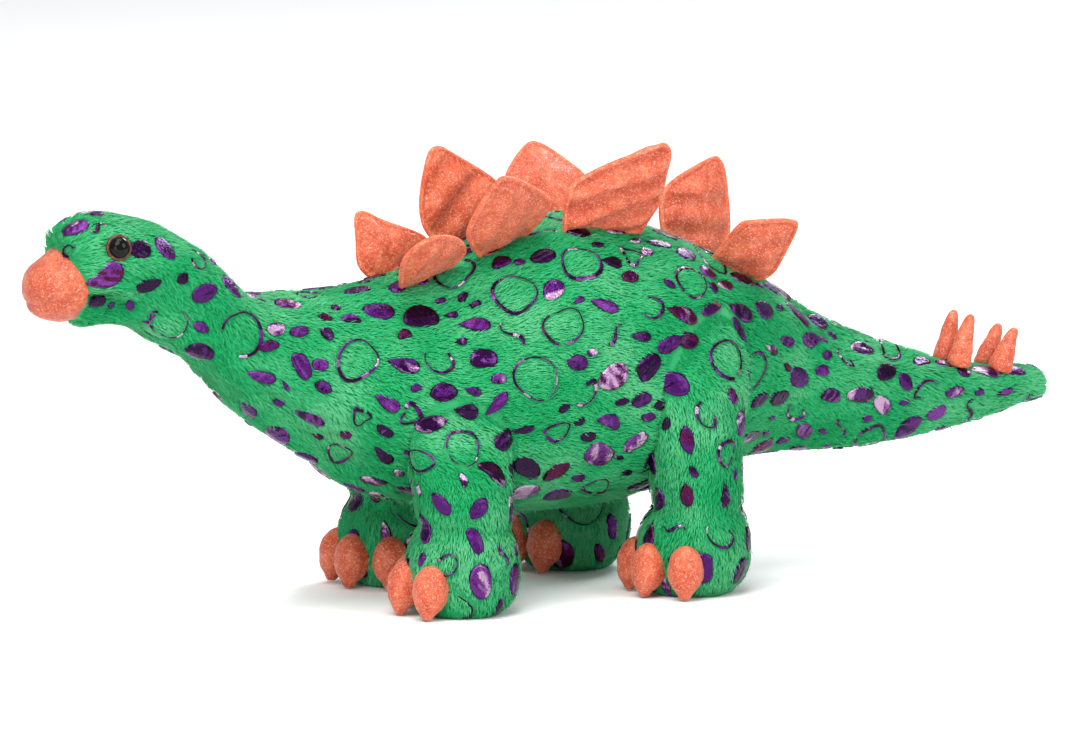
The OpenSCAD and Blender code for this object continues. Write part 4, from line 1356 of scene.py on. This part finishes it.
def pod(profile, height, half_wide, half_deep, seed, seam, bend=0.0, around=44):
    """A sewn pod from its profile of (share of height, share of width), standing on Z from 0."""
    rows = resample(spline([(z * height, r) for z, r in profile], 10), 0.55, (1, 60))
    a = circle(around)
    r = np.maximum(rows[:, 1], 0.02)[:, None]
    x = half_wide * r * np.cos(a)
    y = half_deep * r * np.sin(a)
    z = np.repeat(rows[:, 0][:, None], around, 1)
    p = np.stack([x, y, z], -1)
    flat = (p + np.array([seed * 17.0, 0, 0])).reshape(-1, 3)
    lumps = (0.4 * noise_at(flat, 4.5, seed) + 0.14 * noise_at(flat, 1.9, seed + 2)).reshape(z.shape)
    groove = -seam * hump(np.minimum(np.abs(a - np.pi), np.minimum(a, 2 * np.pi - a)), 0, 0.13)
    rise = np.stack([np.cos(a), np.sin(a), np.zeros(around)], -1)[None]
    lumps = lumps + folds(p, (3, 3), 10.0, 5.0, 0.03, 0.5)
    p = p + rise * ((lumps + groove[None]) * np.minimum(r * 1.6, 1))[..., None]
    p[..., 1] += bend * (z / height) ** 2
    return p


TOE_SHAPE = [(0, 0.0), (0.012, 0.2), (0.05, 0.32), (0.12, 0.45), (0.24, 0.75), (0.38, 0.95), (0.5, 1.0),
             (0.64, 0.98), (0.78, 0.86), (0.89, 0.65), (0.96, 0.4), (0.99, 0.2), (1, 0.0)]
SPIKE_SHAPE = [(0, 0.0), (0.01, 0.72), (0.05, 0.94), (0.14, 1.0), (0.3, 0.9), (0.5, 0.75), (0.7, 0.6),
               (0.86, 0.48), (0.94, 0.36), (0.985, 0.18), (1, 0.0)]
# y, x, lean outward, lean back, size
SPIKES = [(178, 5.6, 2, 11, 1), (196, 5.4, 2, 19, 0.86)]


def toe_pieces(mats):
    """Three pods in front of each foot."""
    out = []
    for leg, (side, at_y, _hip, turn) in LEGS.items():
        for i in range(3):
            seed = 60 + 3 * list(LEGS).index(leg) + i
            p = pod(TOE_SHAPE, 20.4, 6.8, 6.9, seed, 0.25)
            p[..., 1] -= 1.3 * (1 - smoothstep(p[..., 2], 0, 9))
            angle = math.radians(side * turn + (i - 1) * 42 * side)
            m = Matrix.Translation((side * LEG_X, at_y, 0)) @ Matrix.Rotation(angle, 4, "Z") \
                @ Matrix.Translation((0, -22.9, 0.35)) @ Matrix.Rotation(math.radians(-6), 4, "X")
            ob = object_from_grid(f"pod_{leg}_{i + 1}", placed_by(m, p), mats)
            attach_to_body(ob, "leg_" + leg)
            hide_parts(f"toe_{leg}_{i + 1}")
            out.append(ob)
    return out


def spike_pieces(mats):
    """Two pairs of spikes that stand on the tail's end."""
    out = []
    for name, side in (("left", 1), ("right", -1)):
        for i, (y, x, out_lean, back_lean, share) in enumerate(SPIKES):
            top, bottom, hw = body_at(np.array([y]))[0]
            z = (top + bottom) / 2 + (top - bottom) / 2 * math.sqrt(1 - (x / hw) ** 2)
            p = pod(SPIKE_SHAPE, 20.6 * share, 4.9, 4.5, 90 + i + (side > 0) * 4, 0.2, 1.2, 36)
            m = Matrix.Translation((side * x, y, z)) @ Matrix.Rotation(math.radians(-back_lean), 4, "X") \
                @ Matrix.Rotation(math.radians(side * out_lean), 4, "Y") @ Matrix.Translation((0, 0, -2.6))
            ob = object_from_grid(f"horn_{name}_{i + 1}", placed_by(m, p), mats)
            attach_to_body(ob, "tail_tip")
            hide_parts(f"spike_{name}_{i + 1}")
            out.append(ob)
    return out


EYE_AT = (17.2, -188, 144.5)


def eye_matrix(side):
    """Puts an eye, drawn along Z, in its place in the cheek."""
    return Matrix.Translation((side * EYE_AT[0], EYE_AT[1], EYE_AT[2])) \
        @ Matrix.Rotation(math.radians(-side * 12), 4, "Z") @ Matrix.Rotation(math.radians(side * 80), 4, "Y")


def lathe(name, profile, matrix, mats, around=64):
    """Round piece from its (radius, height) profile."""
    rows = resample(spline(profile, 8), 0.16, (1, 1))
    a = circle(around)
    r = np.maximum(rows[:, 0], 0.01)[:, None]
    p = np.stack([r * np.cos(a), r * np.sin(a), np.repeat(rows[:, 1][:, None], around, 1)], -1)
    return object_from_grid(name, placed_by(matrix, p), mats)


def eye_pieces(amber, black, white):
    """Disc and dome of each eye, and the look of the washers behind them."""
    for name, side in (("left", 1), ("right", -1)):
        m = eye_matrix(side)
        disc = lathe(f"eye_rim_{name}", [
            (0, -8.6), (1.7, -8.5), (2, -8.2), (2, -3), (2, -1.2), (4.4, -0.9), (4.9, -0.5), (5.0, 0.1),
            (4.85, 0.55), (4.4, 0.85), (3.9, 0.95), (3.5, 0.9), (0, 0.88)], m, [amber])
        dome = lathe(f"eye_black_{name}", [
            (0, 0.6), (3.6, 0.62), (3.95, 0.9), (3.86, 1.35), (3.5, 2.05), (2.9, 2.75), (2.1, 3.3),
            (1.1, 3.62), (0, 3.72)], m, [black])
        for ob, kind, slot in ((disc, "disc", "eye_amber"), (dome, "dome", "eye_black")):
            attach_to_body(ob, "head")
            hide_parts(f"eye_{kind}_{name}")
        washer = frame["nodes"][f"eye_washer_{name}"]
        for i in range(max(len(washer.material_slots), 1)):
            if washer.material_slots:
                washer.material_slots[i].material = white
            else:
                washer.data.materials.append(white)


# ---------------------------------------------------------------- where pieces, marks and pile go

COVERS = {"torso": "torso", "neck": "neck", "head": "head", "tail": "tail_base", "tip": "tail_tip"}
EYES = [np.array(eye_matrix(side).translation) for side in (1, -1)]


def in_region(lo, hi):
    """Test of which places have their y from lo to hi."""
    return lambda c: (c[:, 1] >= lo) & (c[:, 1] < hi)


def everywhere(c):
    return np.ones(len(c), bool)


def add_bag(region, cover, fill, node_name):
    """Books a cover with its stuffing, and hides the CAD nodes that they stand for."""
    made[region] += [cover, fill]
    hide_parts(node_name + "_cover")
    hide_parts(node_name + "_stuffing")


def near_eyes(p, reach):
    """True where p is within reach of an eye."""
    return np.minimum(*(length(p - e) for e in EYES)) < reach


def off_body_marks(p):
    """Where chance puts no mark: hidden, too near an eye or the snout, or on the side with chosen marks."""
    chosen = (p[:, 1] < -128) & (p[:, 0] > -5)
    under = (p[:, 2] < 38) & (np.abs(p[:, 0]) < 26)
    return inside_legs(p, 1.5) | (snout_depth(p) > -4) | near_eyes(p, 7.5) | chosen | under


# ---------------------------------------------------------------- run

make_camera()
make_studio()
scene.view_settings.view_transform = "Standard"
GREEN, PILES = cloth_green(), pile_greens()
FOILS = foils()
# the rim coral is the same cloth 1.22 times lighter: a painted highlight for the plates' hems
CORAL, CORAL_HEM_PAINTED_LIGHT, CORAL_SNOUT_PAINTED_SHADE = (glitter_coral("coral_" + name, light) for name, light in (
    ("cloth", 1.0), ("rim", 1.22), ("snout", 0.84)))
FIBRE = fibre_white()
BLACK, AMBER, WHITE = plastics()
made = {name: [] for name in list(REGIONS) + list(LEGS)}
rng = np.random.default_rng(SEED)

body = build_body_skin()
legs = {name: build_leg_skin(name) for name in LEGS}
core = Skin(body_shape(STUFFING_IN), False)
for name, (lo, hi, *_rest) in REGIONS.items():
    if name == "head":
        piece = skin_piece("skin_head", body, lambda c, hi=hi: (c[:, 1] < hi) & (snout_depth(c) < 0), GREEN,
                           seam_planes())
    else:
        piece = skin_piece("skin_" + name, body, in_region(lo, hi), GREEN)
    add_bag(name, piece, skin_piece("fill_" + name, core, in_region(lo, hi), FIBRE), COVERS[name])
# the snout's coral is the same cloth at 0.84 times: painted shade that tones down the light on its front
snout = skin_piece("snout_cushion", body, lambda c: snout_depth(c) >= 0, CORAL_SNOUT_PAINTED_SHADE, seam_planes(),
                   lambda co: 0.3 + 0.6 * float(smoothstep(snout_depth(np.array([co])), 0.0, 3.0)[0]))
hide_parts("snout_patch")
for name, skin in legs.items():
    piece = skin_piece("skin_leg_" + name, skin, everywhere, GREEN)
    inner = Skin(leg_shape(name, STUFFING_IN), True)
    add_bag(name, piece, skin_piece("fill_leg_" + name, inner, everywhere, FIBRE), "leg_" + name)

corals = [plate_piece(name, joints[f"plate_{name}_flop"], [CORAL, CORAL_HEM_PAINTED_LIGHT]) for name in PLATES]
corals += toe_pieces([CORAL]) + spike_pieces([CORAL]) + [snout]
eye_pieces(AMBER, BLACK, WHITE)

patches = scatter_patches(body, None, rng, 12000, off_body_marks,
                          lambda at: 0.4 + 2.4 * hump(at[1], -120, 40), FACE_MARKS)
foil_objects(patches, body, FOILS, made)
tufts(body, None, int(body.area.sum() * DENSITY), patches,
      lambda p: inside_legs(p, 4.5) | near_eyes(p, 5.4), PILES, made, rng)
for name, skin in legs.items():
    marks = scatter_patches(skin, name, rng, 3000, lambda p: inside_body(p, 1.5) | (p[:, 2] < 4),
                            lambda at: 1.8)
    foil_objects(marks, skin, FOILS, made)
    tufts(skin, name, int(skin.area.sum() * DENSITY), marks, lambda p: inside_body(p, 4.5) | (p[:, 2] < 0.6),
          PILES, made, rng)

for region, obs in made.items():
    for ob in obs:
        attach(ob, region)
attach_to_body(snout, "head")
